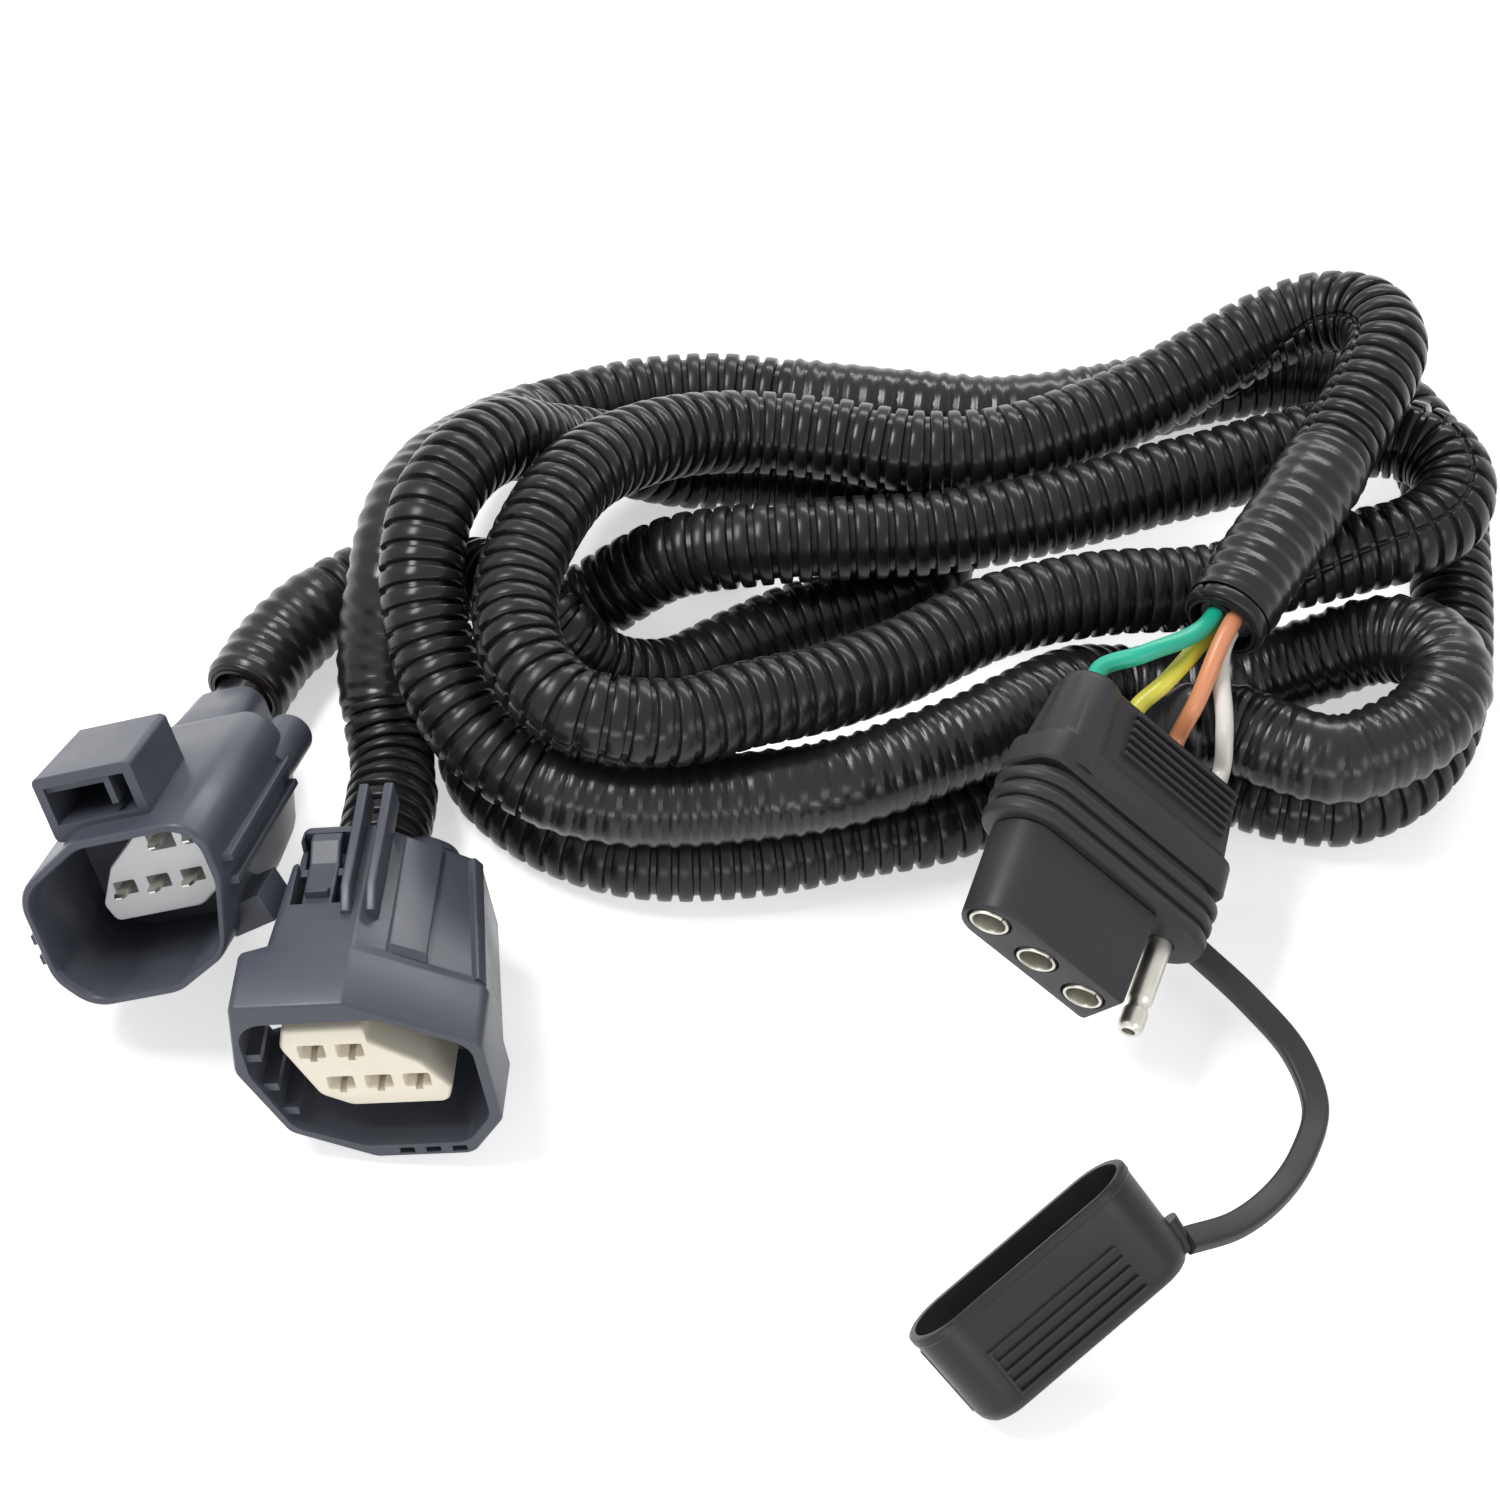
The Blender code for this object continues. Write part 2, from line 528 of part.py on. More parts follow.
def cavity_centres():
    """A row of two over a row of three, which is stepped half a pitch to the right of the upper one."""
    upper = [(8.6 - CAVITY_PITCH * column, 1.7 + ROW_PITCH / 2) for column in range(2)]
    lower = [(5.2 - CAVITY_PITCH * column, 1.7 - ROW_PITCH / 2) for column in range(3)]
    return upper + lower


def build_socket():
    frame = frame_empty("socket_frame", SOCKET_POSE)
    collar = rounded_outline(COLLAR_CORNERS, COLLAR_RADII)
    waist = rounded_outline([(12.5, -11.5), (2, -18), (-14, -18), (-20.3, -10.5), (-20.3, 8.6), (0, 19.8),
                             (15.2, 19.8), (16.2, 4)], COLLAR_RADII)
    tail = rounded_outline([(9.5, -10), (2, -15), (-11, -15), (-16.5, -9), (-16.5, 7.5), (0, 18.2), (13, 18.2),
                            (13.5, 3)], COLLAR_RADII)
    end = -SOCKET_BODY_LENGTH - 2
    housing = loft("socket_housing", [(0, scaled(collar, 0.985, 0.985)), (-0.7, collar), (-12, collar),
                                      (-14.5, waist), (end, tail)], frame, housing_grey)
    clear = 1 + MATING_CLEARANCE / (SHROUD_WIDTH / 2)
    cavity = rounded_outline(scaled(MATING_CORNERS, clear, clear), MATING_RADII)
    collar_cut = prism("collar_cut", cavity, -COLLAR_DEPTH, 2, frame, cutter=True)
    for index, z in enumerate((-7.7, -1.3, 6.3)):
        wall = 19.4 + min(z - 3, 0) / 3
        guide = block(f"guide_rib_{index}", (wall - 2.4, -COLLAR_DEPTH - 2, z - 0.9), (wall + 4, -1.2, z + 0.9),
                      frame, cutter=True)
        boolean(collar_cut, guide, "DIFFERENCE")
    boolean(housing, collar_cut, "DIFFERENCE")
    for index, (x, z) in enumerate(cavity_centres()):
        channel = block(f"terminal_channel_{index + 1}", (x - 1.5, -34, z - 1.2), (x + 1.5, -COLLAR_DEPTH + 1, z + 1.2),
                        frame, cutter=True)
        boolean(housing, channel, "DIFFERENCE")
    pocket = block("latch_pocket", (3.4, end + 1.6, 12.6), (12.4, -24.0, 24), frame, cutter=True)
    boolean(housing, pocket, "DIFFERENCE")
    side_gap = block("latch_side_gap", (11.5, end + 2.6, 14.6), (20, end + 9, 24), frame, cutter=True)
    boolean(housing, side_gap, "DIFFERENCE")
    for index, x in enumerate((2.2, -2.2)):
        rib = loft(f"top_rib_{index}", [(end - 6, rectangle(1.7, 5.6, 0.4, (x, 19.2))),
                                        (-25, rectangle(1.7, 5.6, 0.4, (x, 19.8))),
                                        (-21, rectangle(1.7, 3.2, 0.4, (x, 18.8)))], frame, cutter=True)
        boolean(housing, rib, "UNION")
    for index in range(3):
        x = -3.5 - 4.6 * index
        notch = block(f"rim_notch_{index}", (x - 1.3, -3.5, -18.6), (x + 1.3, 1, -17.2), frame, cutter=True)
        boolean(housing, notch, "DIFFERENCE")

    # The latch lever lies in its pocket, on two stub pivots halfway along
    lever = loft("socket_latch", [(end + 3, rectangle(5.4, 1.8, 0.5, (7.9, 18.6))),
                                  (end + 5, rectangle(5.4, 2.4, 0.5, (7.9, 18.7))),
                                  (end + 9, rectangle(5.4, 2.0, 0.5, (7.9, 17.4))),
                                  (-26.5, rectangle(5.4, 2.0, 0.5, (7.9, 17.8))),
                                  (-24.3, rectangle(5.4, 1.4, 0.5, (7.9, 18.2)))], frame, housing_grey)
    tooth = loft("latch_tooth_join", [(-27.5, rectangle(4.0, 1.2, 0.3, (7.9, 18.9))),
                                      (-25.6, rectangle(4.0, 3.0, 0.3, (7.9, 19.0)))], frame, cutter=True)
    boolean(lever, tooth, "UNION")
    pivot = block("latch_pivot_join", (4.0, -33.0, 16.7), (11.8, -31.4, 18.1), frame, cutter=True)
    boolean(lever, pivot, "UNION")

    front = -2.5
    back = -COLLAR_DEPTH + GAP
    radii = [1.5, 3, 3, 1.5, 1.5, 2, 1.0, 1.2, 1.2]
    insert = loft("socket_insert", [(back, rounded_outline(INSERT_CORNERS, radii, 2)),
                                    (front - 0.5, rounded_outline(INSERT_CORNERS, radii, 2)),
                                    (front, rounded_outline(scaled(INSERT_CORNERS, 0.97, 0.96), radii, 2))],
                  frame, cream)
    for index, (x, z) in enumerate(cavity_centres()):
        bore = block(f"insert_bore_{index + 1}", (x - 1.9, back - 2, z - 1.2), (x + 1.9, front + 2, z + 1.2), frame,
                     cutter=True)
        boolean(insert, bore, "DIFFERENCE")
        foot = block(f"insert_foot_{index + 1}", (x - 0.6, back - 2, z - 2.5), (x + 0.6, front + 2, z - 0.9),
                     frame, cutter=True)
        boolean(insert, foot, "DIFFERENCE")
        terminal = block(f"socket_terminal_{index + 1}", (x - 1.2, -33.5, z - 0.9), (x + 1.2, front - 2.5, z + 0.9),
                         frame, tin)
        slot = block(f"socket_terminal_slot_{index + 1}", (x - TERMINAL_WIDTH / 2 + 0.35, front - 12, z - 0.45),
                     (x + TERMINAL_WIDTH / 2 - 0.35, front, z + 0.45), frame, cutter=True)
        boolean(terminal, slot, "DIFFERENCE")

    rim = rounded_outline(scaled(INSERT_CORNERS, 1.18, 1.2), radii, 2)
    ring = prism("socket_seal", rim, back, back + 2.4, frame, seal_rubber)
    gap = rounded_outline(scaled(INSERT_CORNERS, 1.06, 1.07), radii, 2)
    opening = prism("socket_seal_cut", gap, back - 2, back + 5, frame, cutter=True)
    boolean(ring, opening, "DIFFERENCE")

    cover_front = end - GAP
    cover = loft("socket_rear_cover", [(cover_front, rectangle(24, 22, 4, (-1, 0.5))),
                                       (cover_front - 3.5, rectangle(22, 20, 5, (0, 0.5))),
                                       (cover_front - 5.5, rectangle(14, 14, 6.5, (4, 0))),
                                       (cover_front - 7, rectangle(8.6, 8.6, 4.2, (4, 0))),
                                       (-60.5, rectangle(8.2, 8.2, 4.0, (4, 0)))], frame, housing_grey)
    return cover


def build_pin():
    frame = frame_empty("pin_frame", PIN_POSE)
    shroud_corners = mirrored(MATING_CORNERS)
    radii = list(reversed(MATING_RADII))
    outline = rounded_outline(shroud_corners, radii)
    rear = scaled(outline, 0.88, 0.88)
    end = -PIN_BODY_LENGTH
    housing = loft("pin_housing", [(0, scaled(outline, 0.985, 0.985)), (-0.7, outline), (-SHROUD_DEPTH - 6, outline),
                                   (end + 2, scaled(outline, 0.93, 0.93)), (end, rear)], frame, housing_grey)
    inner = 1 - SHROUD_WALL / (SHROUD_WIDTH / 2)
    cavity = prism("shroud_cut", scaled(outline, inner, inner - 0.02), -SHROUD_DEPTH, 2, frame, cutter=True)
    boss = loft("rear_boss_join", [(end + 3, rectangle(18, 16, 4, (-1.5, 5))), (end - 6, rectangle(15, 13, 4, (-1.5, 6))),
                                   (-60, rectangle(14, 12, 4, (-1.5, 6)))], frame, cutter=True)
    boolean(housing, boss, "UNION")
    lug = prism("round_lug_join", circle(4.2, (-15.5, 5.0)), -50, -36, frame, cutter=True)
    boolean(housing, lug, "UNION")
    hood = loft("hood_join", [(-5.5, rectangle(19, 12.5, 1.2, (1, 19.6))), (-25.5, rectangle(17.5, 11.5, 1.2, (1, 19.0)))],
                frame, cutter=True)
    boolean(housing, hood, "UNION")
    hood_cut = block("hood_cut", (-6.7, -22.5, 16.6), (8.7, -2, 23.8), frame, cutter=True)
    boolean(housing, hood_cut, "DIFFERENCE")
    for index, z in enumerate((5.6, 1.2)):
        rail = loft(f"side_rail_{index}", [(-38, rectangle(2.4, 1.3, 0.3, (-18.6 + 0.3 * index, z))),
                                           (-3.5, rectangle(3.6, 1.3, 0.3, (-19.0 + 0.6 * index, z)))],
                    frame, cutter=True)
        boolean(housing, rail, "UNION")
    clip = block("clip_lug_join", (-20.8, -17.0, -10.5), (-12.5, -7.5, -5.0), frame, cutter=True, turn=12)
    boolean(housing, clip, "UNION")
    clip_slot = block("clip_slot_cut", (-19.6, -20, -8.7), (-17.6, -9.3, -6.9), frame, cutter=True, turn=12)
    boolean(housing, clip_slot, "DIFFERENCE")
    for index, z in enumerate((-2.0, -6.0)):
        tooth = block(f"rim_tooth_{index}", (17.5, -5.5, z - 0.9), (20.6, -2.0, z + 0.9), frame, cutter=True)
        boolean(housing, tooth, "UNION")
    boolean(housing, cavity, "DIFFERENCE")
    boss_bore = prism("boss_bore_cut", rectangle(10.5, 8.5, 3, (-1.5, 6)), -62, -52, frame, cutter=True)
    boolean(housing, boss_bore, "DIFFERENCE")

    back = -SHROUD_DEPTH + GAP
    front = back + 5
    block_corners = scaled(mirrored(INSERT_CORNERS), 1.0, 1.0)
    block_radii = [1.2, 1.2, 1.0, 2, 1.5, 1.5, 3, 3, 1.5]
    insert = loft("pin_insert", [(back, rounded_outline(block_corners, block_radii, 2)),
                                 (front, rounded_outline(scaled(block_corners, 0.98, 0.97), block_radii, 2))],
                  frame, white_plastic)
    for index, (x, z) in enumerate(cavity_centres()):
        channel = block(f"blade_channel_{index + 1}", (-x - 1.45, -40, z - 0.7), (-x + 1.45, -SHROUD_DEPTH + 1, z + 0.7),
                        frame, cutter=True)
        boolean(housing, channel, "DIFFERENCE")
        bore = block(f"blade_bore_{index + 1}", (-x - 1.9, back - 2, z - 1.3), (-x + 1.9, front + 2, z + 1.3), frame,
                     cutter=True)
        boolean(insert, bore, "DIFFERENCE")
        half = TERMINAL_WIDTH / 2
        thick = TERMINAL_THICKNESS / 2
        loft(f"pin_terminal_{index + 1}",
             [(-39.5, rectangle(2 * half, 2 * thick, 0.1, (-x, z), 1)),
              (front + 6, rectangle(2 * half, 2 * thick, 0.1, (-x, z), 1)),
              (front + 7.2, rectangle(2 * half - 0.9, 2 * thick - 0.4, 0.1, (-x, z), 1))], frame, tin)

    plug = prism("pin_rear_seal", rectangle(9.9, 7.9, 2.7, (-1.5, 6)), -61.5, -53, frame, seal_rubber)
    for index, x in enumerate((0.6, -3.6)):
        hole = prism(f"seal_hole_{index}", circle(WIRE_DIAMETER / 2 + GAP, (x, 6.2)), -63, -50, frame, cutter=True)
        boolean(plug, hole, "DIFFERENCE")


def build_pin_wires(loom_end):
    """Two wires leave the rear seal and enter the loom."""
    to_world = frame_matrix(PIN_POSE)
    last, before = loom_end
    inward = (before - last).normalized()
    side = inward.cross(Vector((0, 0, 1))).normalized()
    for colour, x, across in (("white_rear", 0.6, -1), ("orange_rear", -3.6, 1)):
        start = to_world @ (Vector((x, -54.5, 6.2)) * MM) / MM
        leave = to_world @ (Vector((x, -62.0, 6.2)) * MM) / MM
        mouth = last + side * across * 1.9 + Vector((0, 0, 0.6))
        points = thinned(smooth_route([start, leave, mouth - inward, mouth + inward * 8], 2.5)[0], 0.12)
        tube_mesh(f"wire_{colour}", points, [WIRE_DIAMETER / 2] * len(points), wire_paint[colour.split("_")[0]])


# ---------------------------------------------------------------- looms and tape

def build_looms():
    trunk = shift(TRUNK_ROUTE)
    socket_leg = shift(SOCKET_LEG_ROUTE)
    pin_leg = shift(PIN_LEG_ROUTE)
    taped_loom("loom_trunk", trunk, {"wrap_trunk_end": (0.004, 0.052)})
    taped_loom("loom_socket_leg", socket_leg, {"wrap_socket_back": (0.42, 0.60), "wrap_socket_end": (0.72, 0.92)})
    taped_loom("loom_pin_leg", pin_leg, {"wrap_pin_run": (0.0, 0.40), "wrap_pin_end": (0.955, 1.0)})

    # The taped splice, where the trunk divides into the two legs, one above the other
    start = trunk[-1].x + GAP
    finish = socket_leg[0].x - 3 * GAP
    radius = TAPE_DIAMETER / 2
    low = socket_leg[0].z
    high = pin_leg[0].z
    solid = bmesh.new()
    rings = []
    for step in range(7):
        share = step / 6
        ease = share * share * (3 - 2 * share)
        top = low + (high - low) * ease
        x = start + (finish - start) * share
        y = trunk[-1].y + (socket_leg[0].y - trunk[-1].y) * share
        ring = []
        for index in range(16):
            angle = 2 * math.pi * index / 16
            centre = top if index <= 8 else low
            ring.append(solid.verts.new((x, y + radius * math.cos(angle), centre + radius * math.sin(angle))))
        rings.append(ring)
    for ring, following in zip(rings, rings[1:]):
        for index in range(16):
            other = (index + 1) % 16
            solid.faces.new((ring[index], ring[other], following[other], following[index]))
    solid.faces.new(rings[0])
    solid.faces.new(rings[-1])
    finish_mesh("wrap_splice", solid, None, tape_black)
    spine, _ = smooth_route(pin_leg, 4.0)
    return spine[-1], spine[-2]


clear_scene()
parts = new_collection("trailer_wiring_harness")
cutters = new_collection("cutters")
cutters.hide_render = True

soft_black = material("soft_pvc_black", (0.066, 0.064, 0.072), 0.48)
cap_rubber = material("cap_rubber_black", (0.024, 0.022, 0.028), 0.55)
loom_black = material("loom_polyethylene_black", (0.022, 0.021, 0.023), 0.36)
tape_black = material("pvc_tape_black", (0.014, 0.014, 0.015), 0.22)
housing_grey = material("housing_nylon_grey", (0.075, 0.083, 0.108), 0.5)
cream = material("insert_nylon_cream", (0.81, 0.77, 0.66), 0.42)
white_plastic = material("insert_nylon_white", (0.80, 0.80, 0.80), 0.4)
tin = material("tinned_brass", (0.58, 0.56, 0.50), 0.3, 1.0)
seal_rubber = material("seal_silicone_grey", (0.09, 0.09, 0.10), 0.6)
wire_paint = {
    "green": material("wire_pvc_green", (0.008, 0.37, 0.24), 0.38),
    "yellow": material("wire_pvc_yellow", (0.69, 0.62, 0.06), 0.38),
    "brown": material("wire_pvc_brown", (0.63, 0.25, 0.12), 0.38),
    "white": material("wire_pvc_white", (0.69, 0.66, 0.60), 0.38),
    "orange": material("wire_pvc_orange", (0.66, 0.21, 0.08), 0.38)}

build_plug()
build_plug_wires()
build_cap()
build_strap()
build_socket()
build_pin()
build_pin_wires(build_looms())
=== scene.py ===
import math

import bmesh
import bpy
import numpy as np
from mathutils import Matrix, Vector


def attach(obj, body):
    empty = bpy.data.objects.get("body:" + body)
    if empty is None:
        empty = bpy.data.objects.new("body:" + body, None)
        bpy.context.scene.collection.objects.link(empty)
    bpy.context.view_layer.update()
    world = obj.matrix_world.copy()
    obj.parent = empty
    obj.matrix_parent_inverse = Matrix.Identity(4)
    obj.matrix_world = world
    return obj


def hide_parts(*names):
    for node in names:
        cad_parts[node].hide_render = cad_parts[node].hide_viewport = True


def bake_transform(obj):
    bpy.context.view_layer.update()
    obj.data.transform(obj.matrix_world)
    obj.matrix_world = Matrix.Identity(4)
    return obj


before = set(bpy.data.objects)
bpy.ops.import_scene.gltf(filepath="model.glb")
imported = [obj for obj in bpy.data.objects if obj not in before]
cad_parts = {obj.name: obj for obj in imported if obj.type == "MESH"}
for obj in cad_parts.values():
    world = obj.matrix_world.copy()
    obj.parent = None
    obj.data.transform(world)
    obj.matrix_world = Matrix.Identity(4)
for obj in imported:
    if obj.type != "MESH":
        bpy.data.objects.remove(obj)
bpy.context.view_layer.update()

MM = 0.001
GAP = 0.3
LAYOUT_SHIFT = (13.05, 58.4, 0.4)
CONTACT_PITCH = 11.8
WIRE_DIAMETER = 3.2
WIRE_BOWS = (2.4, 2.4, 2.4, 4.2)
WIRE_RISES = (1.0, 1.0, 1.0, 2.6)
LOOM_DIAMETER = 15.4
TAPE_DIAMETER = 16.6
RIB_PITCH = 3.5
RIB_DEPTH = 1.15
LOOM_LIP = 6.75
LOOM_BORE = 5.9
LOOM_BORE_DEPTH = 11.0
TAPE_ADVANCE = 10.5
PLUG_REAR = -27.0
WIRE_PITCH = CONTACT_PITCH * 0.89

# Each frame: location (mm), then heading, pitch and roll (degrees)
PLUG_POSE = ((59.7, -36.9, 32.2), (160.0, -5.5, -44.5))
CAP_POSE = ((49.8, -109.2, 14.7), (230.0, -35.8, 22.5))
SOCKET_POSE = ((-64.6, -72.9, 21.2), (176.0, 9.0, 9.0))
PIN_POSE = ((-105.0, -47.7, 34.0), (166.0, 25.0, 25.0))

# Centre lines of the looms, the same points as the solids have
TRUNK_ROUTE = [(82, 6, 44), (90, 20, 44), (99, 35, 43.5), (107, 50, 42.5), (113, 62, 42), (116.5, 73, 40.5),
    (114, 82, 37.5), (106, 86, 34), (96, 84, 31), (84, 78, 28), (73, 72, 26), (60, 66, 25), (46, 61, 25),
    (32, 60, 25), (15, 63, 25), (-1, 64, 26), (-11, 61, 29), (-21, 54, 34), (-31, 42, 40), (-37, 29, 43),
    (-41, 14, 43.5), (-38, -3, 44), (-31, -11, 43.5), (-22, -13, 42.5), (-12, -12, 40.5), (-1, -7, 38.5),
    (12, -1.3, 35.3), (24, 6, 32), (45, 19, 30.2), (63, 25, 28.4), (81, 28, 26), (97, 31.5, 27),
    (110, 35, 27.6), (120, 38.5, 27.4), (127, 44.5, 26.5), (129, 52, 26), (126, 59.5, 25.5),
    (118.5, 63.5, 25), (109, 63, 25), (98, 60, 25), (86, 56, 25), (73, 52, 25), (55, 46, 25), (32, 41, 25),
    (18, 40, 25), (-1, 39, 24), (-15, 39, 20), (-27, 36, 13), (-37, 31, 9), (-45, 23, 8), (-49, 12, 8),
    (-48, 1, 8), (-40, -9, 8), (-25, -17, 8), (-1, -18, 8), (20, -13.5, 8), (34, -10.5, 8), (44, -6, 8),
    (51, -3.8, 8), (58, -3.8, 8)]
SOCKET_LEG_ROUTE = [(79, -2, 8), (85, -2.1, 8), (95, -5.6, 8), (105, -7, 8), (115, -3, 8), (123, 6, 8),
    (127, 18, 8), (129, 32, 8), (130, 48, 8), (130, 65, 8), (126, 79, 8), (117, 89, 8), (103, 93, 8),
    (86, 90, 8), (67, 85, 8), (47, 82, 8), (27, 84, 8), (10, 86, 8), (-5, 88, 8), (-20, 87, 8),
    (-32, 83, 9), (-43, 75, 13), (-52, 64, 20), (-58.8, 51, 27), (-62.7, 40, 29.3), (-64.5, 30, 27),
    (-66.5, 20, 18), (-66, 11, 12), (-64.4, 2, 9.5), (-63.9, -7, 10.2), (-64.5, -14, 11.3),
    (-65, -21, 12.4)]
PIN_LEG_ROUTE = [(79, -2, 25), (85, -2.1, 25), (94, -6.6, 25), (103, -9, 25), (113, -5.6, 25),
    (120.7, 0.2, 25.3), (124.3, 8.5, 25.5), (121.6, 16.4, 24), (114, 20.5, 20.4), (102, 19.3, 15.8),
    (89, 16, 13), (76, 15.2, 12), (66, 14.4, 13.5), (58, 10.2, 19), (50, 3.2, 23.6), (42, -2.5, 25),
    (31, -8, 25), (16, -14, 25), (-1, -17, 25), (-14, -18, 25), (-25, -18, 26), (-39, -14, 28),
    (-50, -5, 31), (-56, 8, 35), (-58, 20, 40), (-56.5, 32, 43.4), (-51.5, 43, 42.9), (-45, 52, 38.5),
    (-37.5, 59.5, 28), (-27, 65, 19), (-13, 68.5, 10), (4, 69, 8), (17, 67, 8), (27.5, 63.5, 8),
    (34, 56.5, 8), (34.3, 47.5, 8), (28, 40.5, 8), (18.5, 36.5, 8), (8, 33, 8), (-3, 27, 8),
    (-14, 20.5, 8.5), (-25, 17.5, 13.5), (-36, 21, 22.5), (-43, 28, 25), (-49, 34, 20.5),
    (-54.5, 38.5, 14.5), (-62, 42.5, 9.5), (-70.5, 42.5, 8.2), (-79, 36.5, 8.2), (-87, 27, 8.2),
    (-92, 16, 9)]
STRAP_ROUTE = [(78.2, -42.8, 14.0), (87, -50, 10), (94, -58, 7), (97, -68, 6), (94, -79, 8), (88, -89, 11),
    (81, -96, 14), (74, -100, 17)]

# Which way each loom's slit faces, as (distance along the loom, direction)
TRUNK_SLIT = [(0, (-0.8, -0.3, 0.6)), (60, (-0.8, -0.3, 0.6)), (95, (-0.4, -0.7, 0.6)),
    (125, (0, -0.8, -0.5)), (160, (0, -0.2, -1)), (200, (-0.2, 0.8, -0.5)), (235, (-0.5, 0.8, 0.3)),
    (280, (-1, 0.1, 0.5)), (310, (-0.6, -0.8, 0.1)), (340, (0, -0.6, -1)), (400, (0, -0.3, -1)),
    (430, (0.1, -0.9, -0.2)), (460, (0.3, -0.5, 0.8)), (500, (0.3, 0.2, 0.9)), (540, (0, 0.8, 0.3)),
    (600, (0, 0.5, -0.9)), (820, (0, 0.3, -1))]
SOCKET_LEG_SLIT = [(0, (0, 0.2, -1)), (416, (0.1, 0.4, -1))]
PIN_LEG_SLIT = [(0, (0, 0.2, -1)), (300, (-0.4, -0.4, -0.8)), (350, (-1, 0.1, 0.3)), (400, (0, 0.3, -1)),
    (594, (0, 0.3, -1))]


def new_object(name, data):
    obj = bpy.data.objects.new(name, data)
    bpy.context.scene.collection.objects.link(obj)
    return obj


# ---------------------------------------------------------------- camera, light and floor

def set_inputs(node, **values):
    """Sets a shader node's inputs; an underscore stands for a space in an input's name."""
    for name, value in values.items():
        node.inputs[name.replace("_", " ")].default_value = value


def add_node(nodes, kind, **values):
    made = nodes.new("ShaderNode" + kind)
    set_inputs(made, **values)
    return made


def make_camera():
    data = bpy.data.cameras.new("camera")
    data.lens = 110
    data.sensor_width = 36
    camera = new_object("camera", data)
    target = Vector((0.01305, 0.0584, 0.0154))
    back = Vector((0.0, -math.cos(math.radians(55)), math.sin(math.radians(55))))
    camera.location = target + back * 0.8184
    camera.rotation_euler = (-back).to_track_quat("-Z", "Y").to_euler()
    bpy.context.scene.camera = camera


def lamp(name, place, size, power, aim=(0.01, 0.05, 0.02)):
    data = bpy.data.lights.new(name, "AREA")
    data.shape = "RECTANGLE"
    data.size, data.size_y = size
    data.energy = power
    made = new_object(name, data)
    made.location = place
    made.rotation_euler = (Vector(aim) - Vector(place)).to_track_quat("-Z", "Y").to_euler()


def background_rays(nodes, links):
    """1 for the rays that show the background itself: camera, glossy and transmission rays."""
    path = add_node(nodes, "LightPath")
    first = add_node(nodes, "Math")
    second = add_node(nodes, "Math")
    first.operation = second.operation = "MAXIMUM"
    links.new(path.outputs["Is Camera Ray"], first.inputs[0])
    links.new(path.outputs["Is Glossy Ray"], first.inputs[1])
    links.new(first.outputs[0], second.inputs[0])
    links.new(path.outputs["Is Transmission Ray"], second.inputs[1])
    return second.outputs[0]


def make_studio():
    world = bpy.data.worlds.new("studio")
    bpy.context.scene.world = world
    world.use_nodes = True
    nodes, links = world.node_tree.nodes, world.node_tree.links
    nodes.clear()
    out = add_node(nodes, "OutputWorld")
    seen = add_node(nodes, "Background", Color=(1, 1, 1, 1))
    shown = background_rays(nodes, links)
    light = add_node(nodes, "Background", Color=(0.93, 0.96, 1.0, 1), Strength=0.32)
    mix = add_node(nodes, "MixShader")
    links.new(shown, mix.inputs[0])
    links.new(light.outputs[0], mix.inputs[1])
    links.new(seen.outputs[0], mix.inputs[2])
    links.new(mix.outputs[0], out.inputs["Surface"])
    lamp("key", (-0.35, 0.15, 0.75), (0.45, 0.22), 6.0)
    lamp("fill", (0.6, -0.5, 0.5), (0.4, 0.4), 1.6)
    lamp("rim", (0.25, 0.75, 0.45), (0.7, 0.12), 3.4)
    lamp("front", (-0.1, -0.8, 0.28), (0.8, 0.12), 2.4)

    mesh = bpy.data.meshes.new("floor")
    size = 3.0
    mesh.from_pydata([(-size, -size, 0), (size, -size, 0), (size, size, 0), (-size, size, 0)], [],
        [(0, 1, 2, 3)])
    floor = new_object("floor", mesh)
    paper = bpy.data.materials.new("paper")
    paper.use_nodes = True
    nodes, links = paper.node_tree.nodes, paper.node_tree.links
    shader = nodes["Principled BSDF"]
    set_inputs(shader, Base_Color=(0.86, 0.86, 0.86, 1), Roughness=0.9, Specular_IOR_Level=0.1)
    glow = add_node(nodes, "Emission", Color=(1, 1, 1, 1), Strength=0.55)
    both = add_node(nodes, "AddShader")
    mix = add_node(nodes, "MixShader")
    links.new(shader.outputs[0], both.inputs[0])
    links.new(glow.outputs[0], both.inputs[1])
    links.new(background_rays(nodes, links), mix.inputs[0])
    links.new(shader.outputs[0], mix.inputs[1])
    links.new(both.outputs[0], mix.inputs[2])
    links.new(mix.outputs[0], nodes["Material Output"].inputs["Surface"])
    mesh.materials.append(paper)
    bpy.context.scene.view_settings.view_transform = "Standard"


# ---------------------------------------------------------------- materials

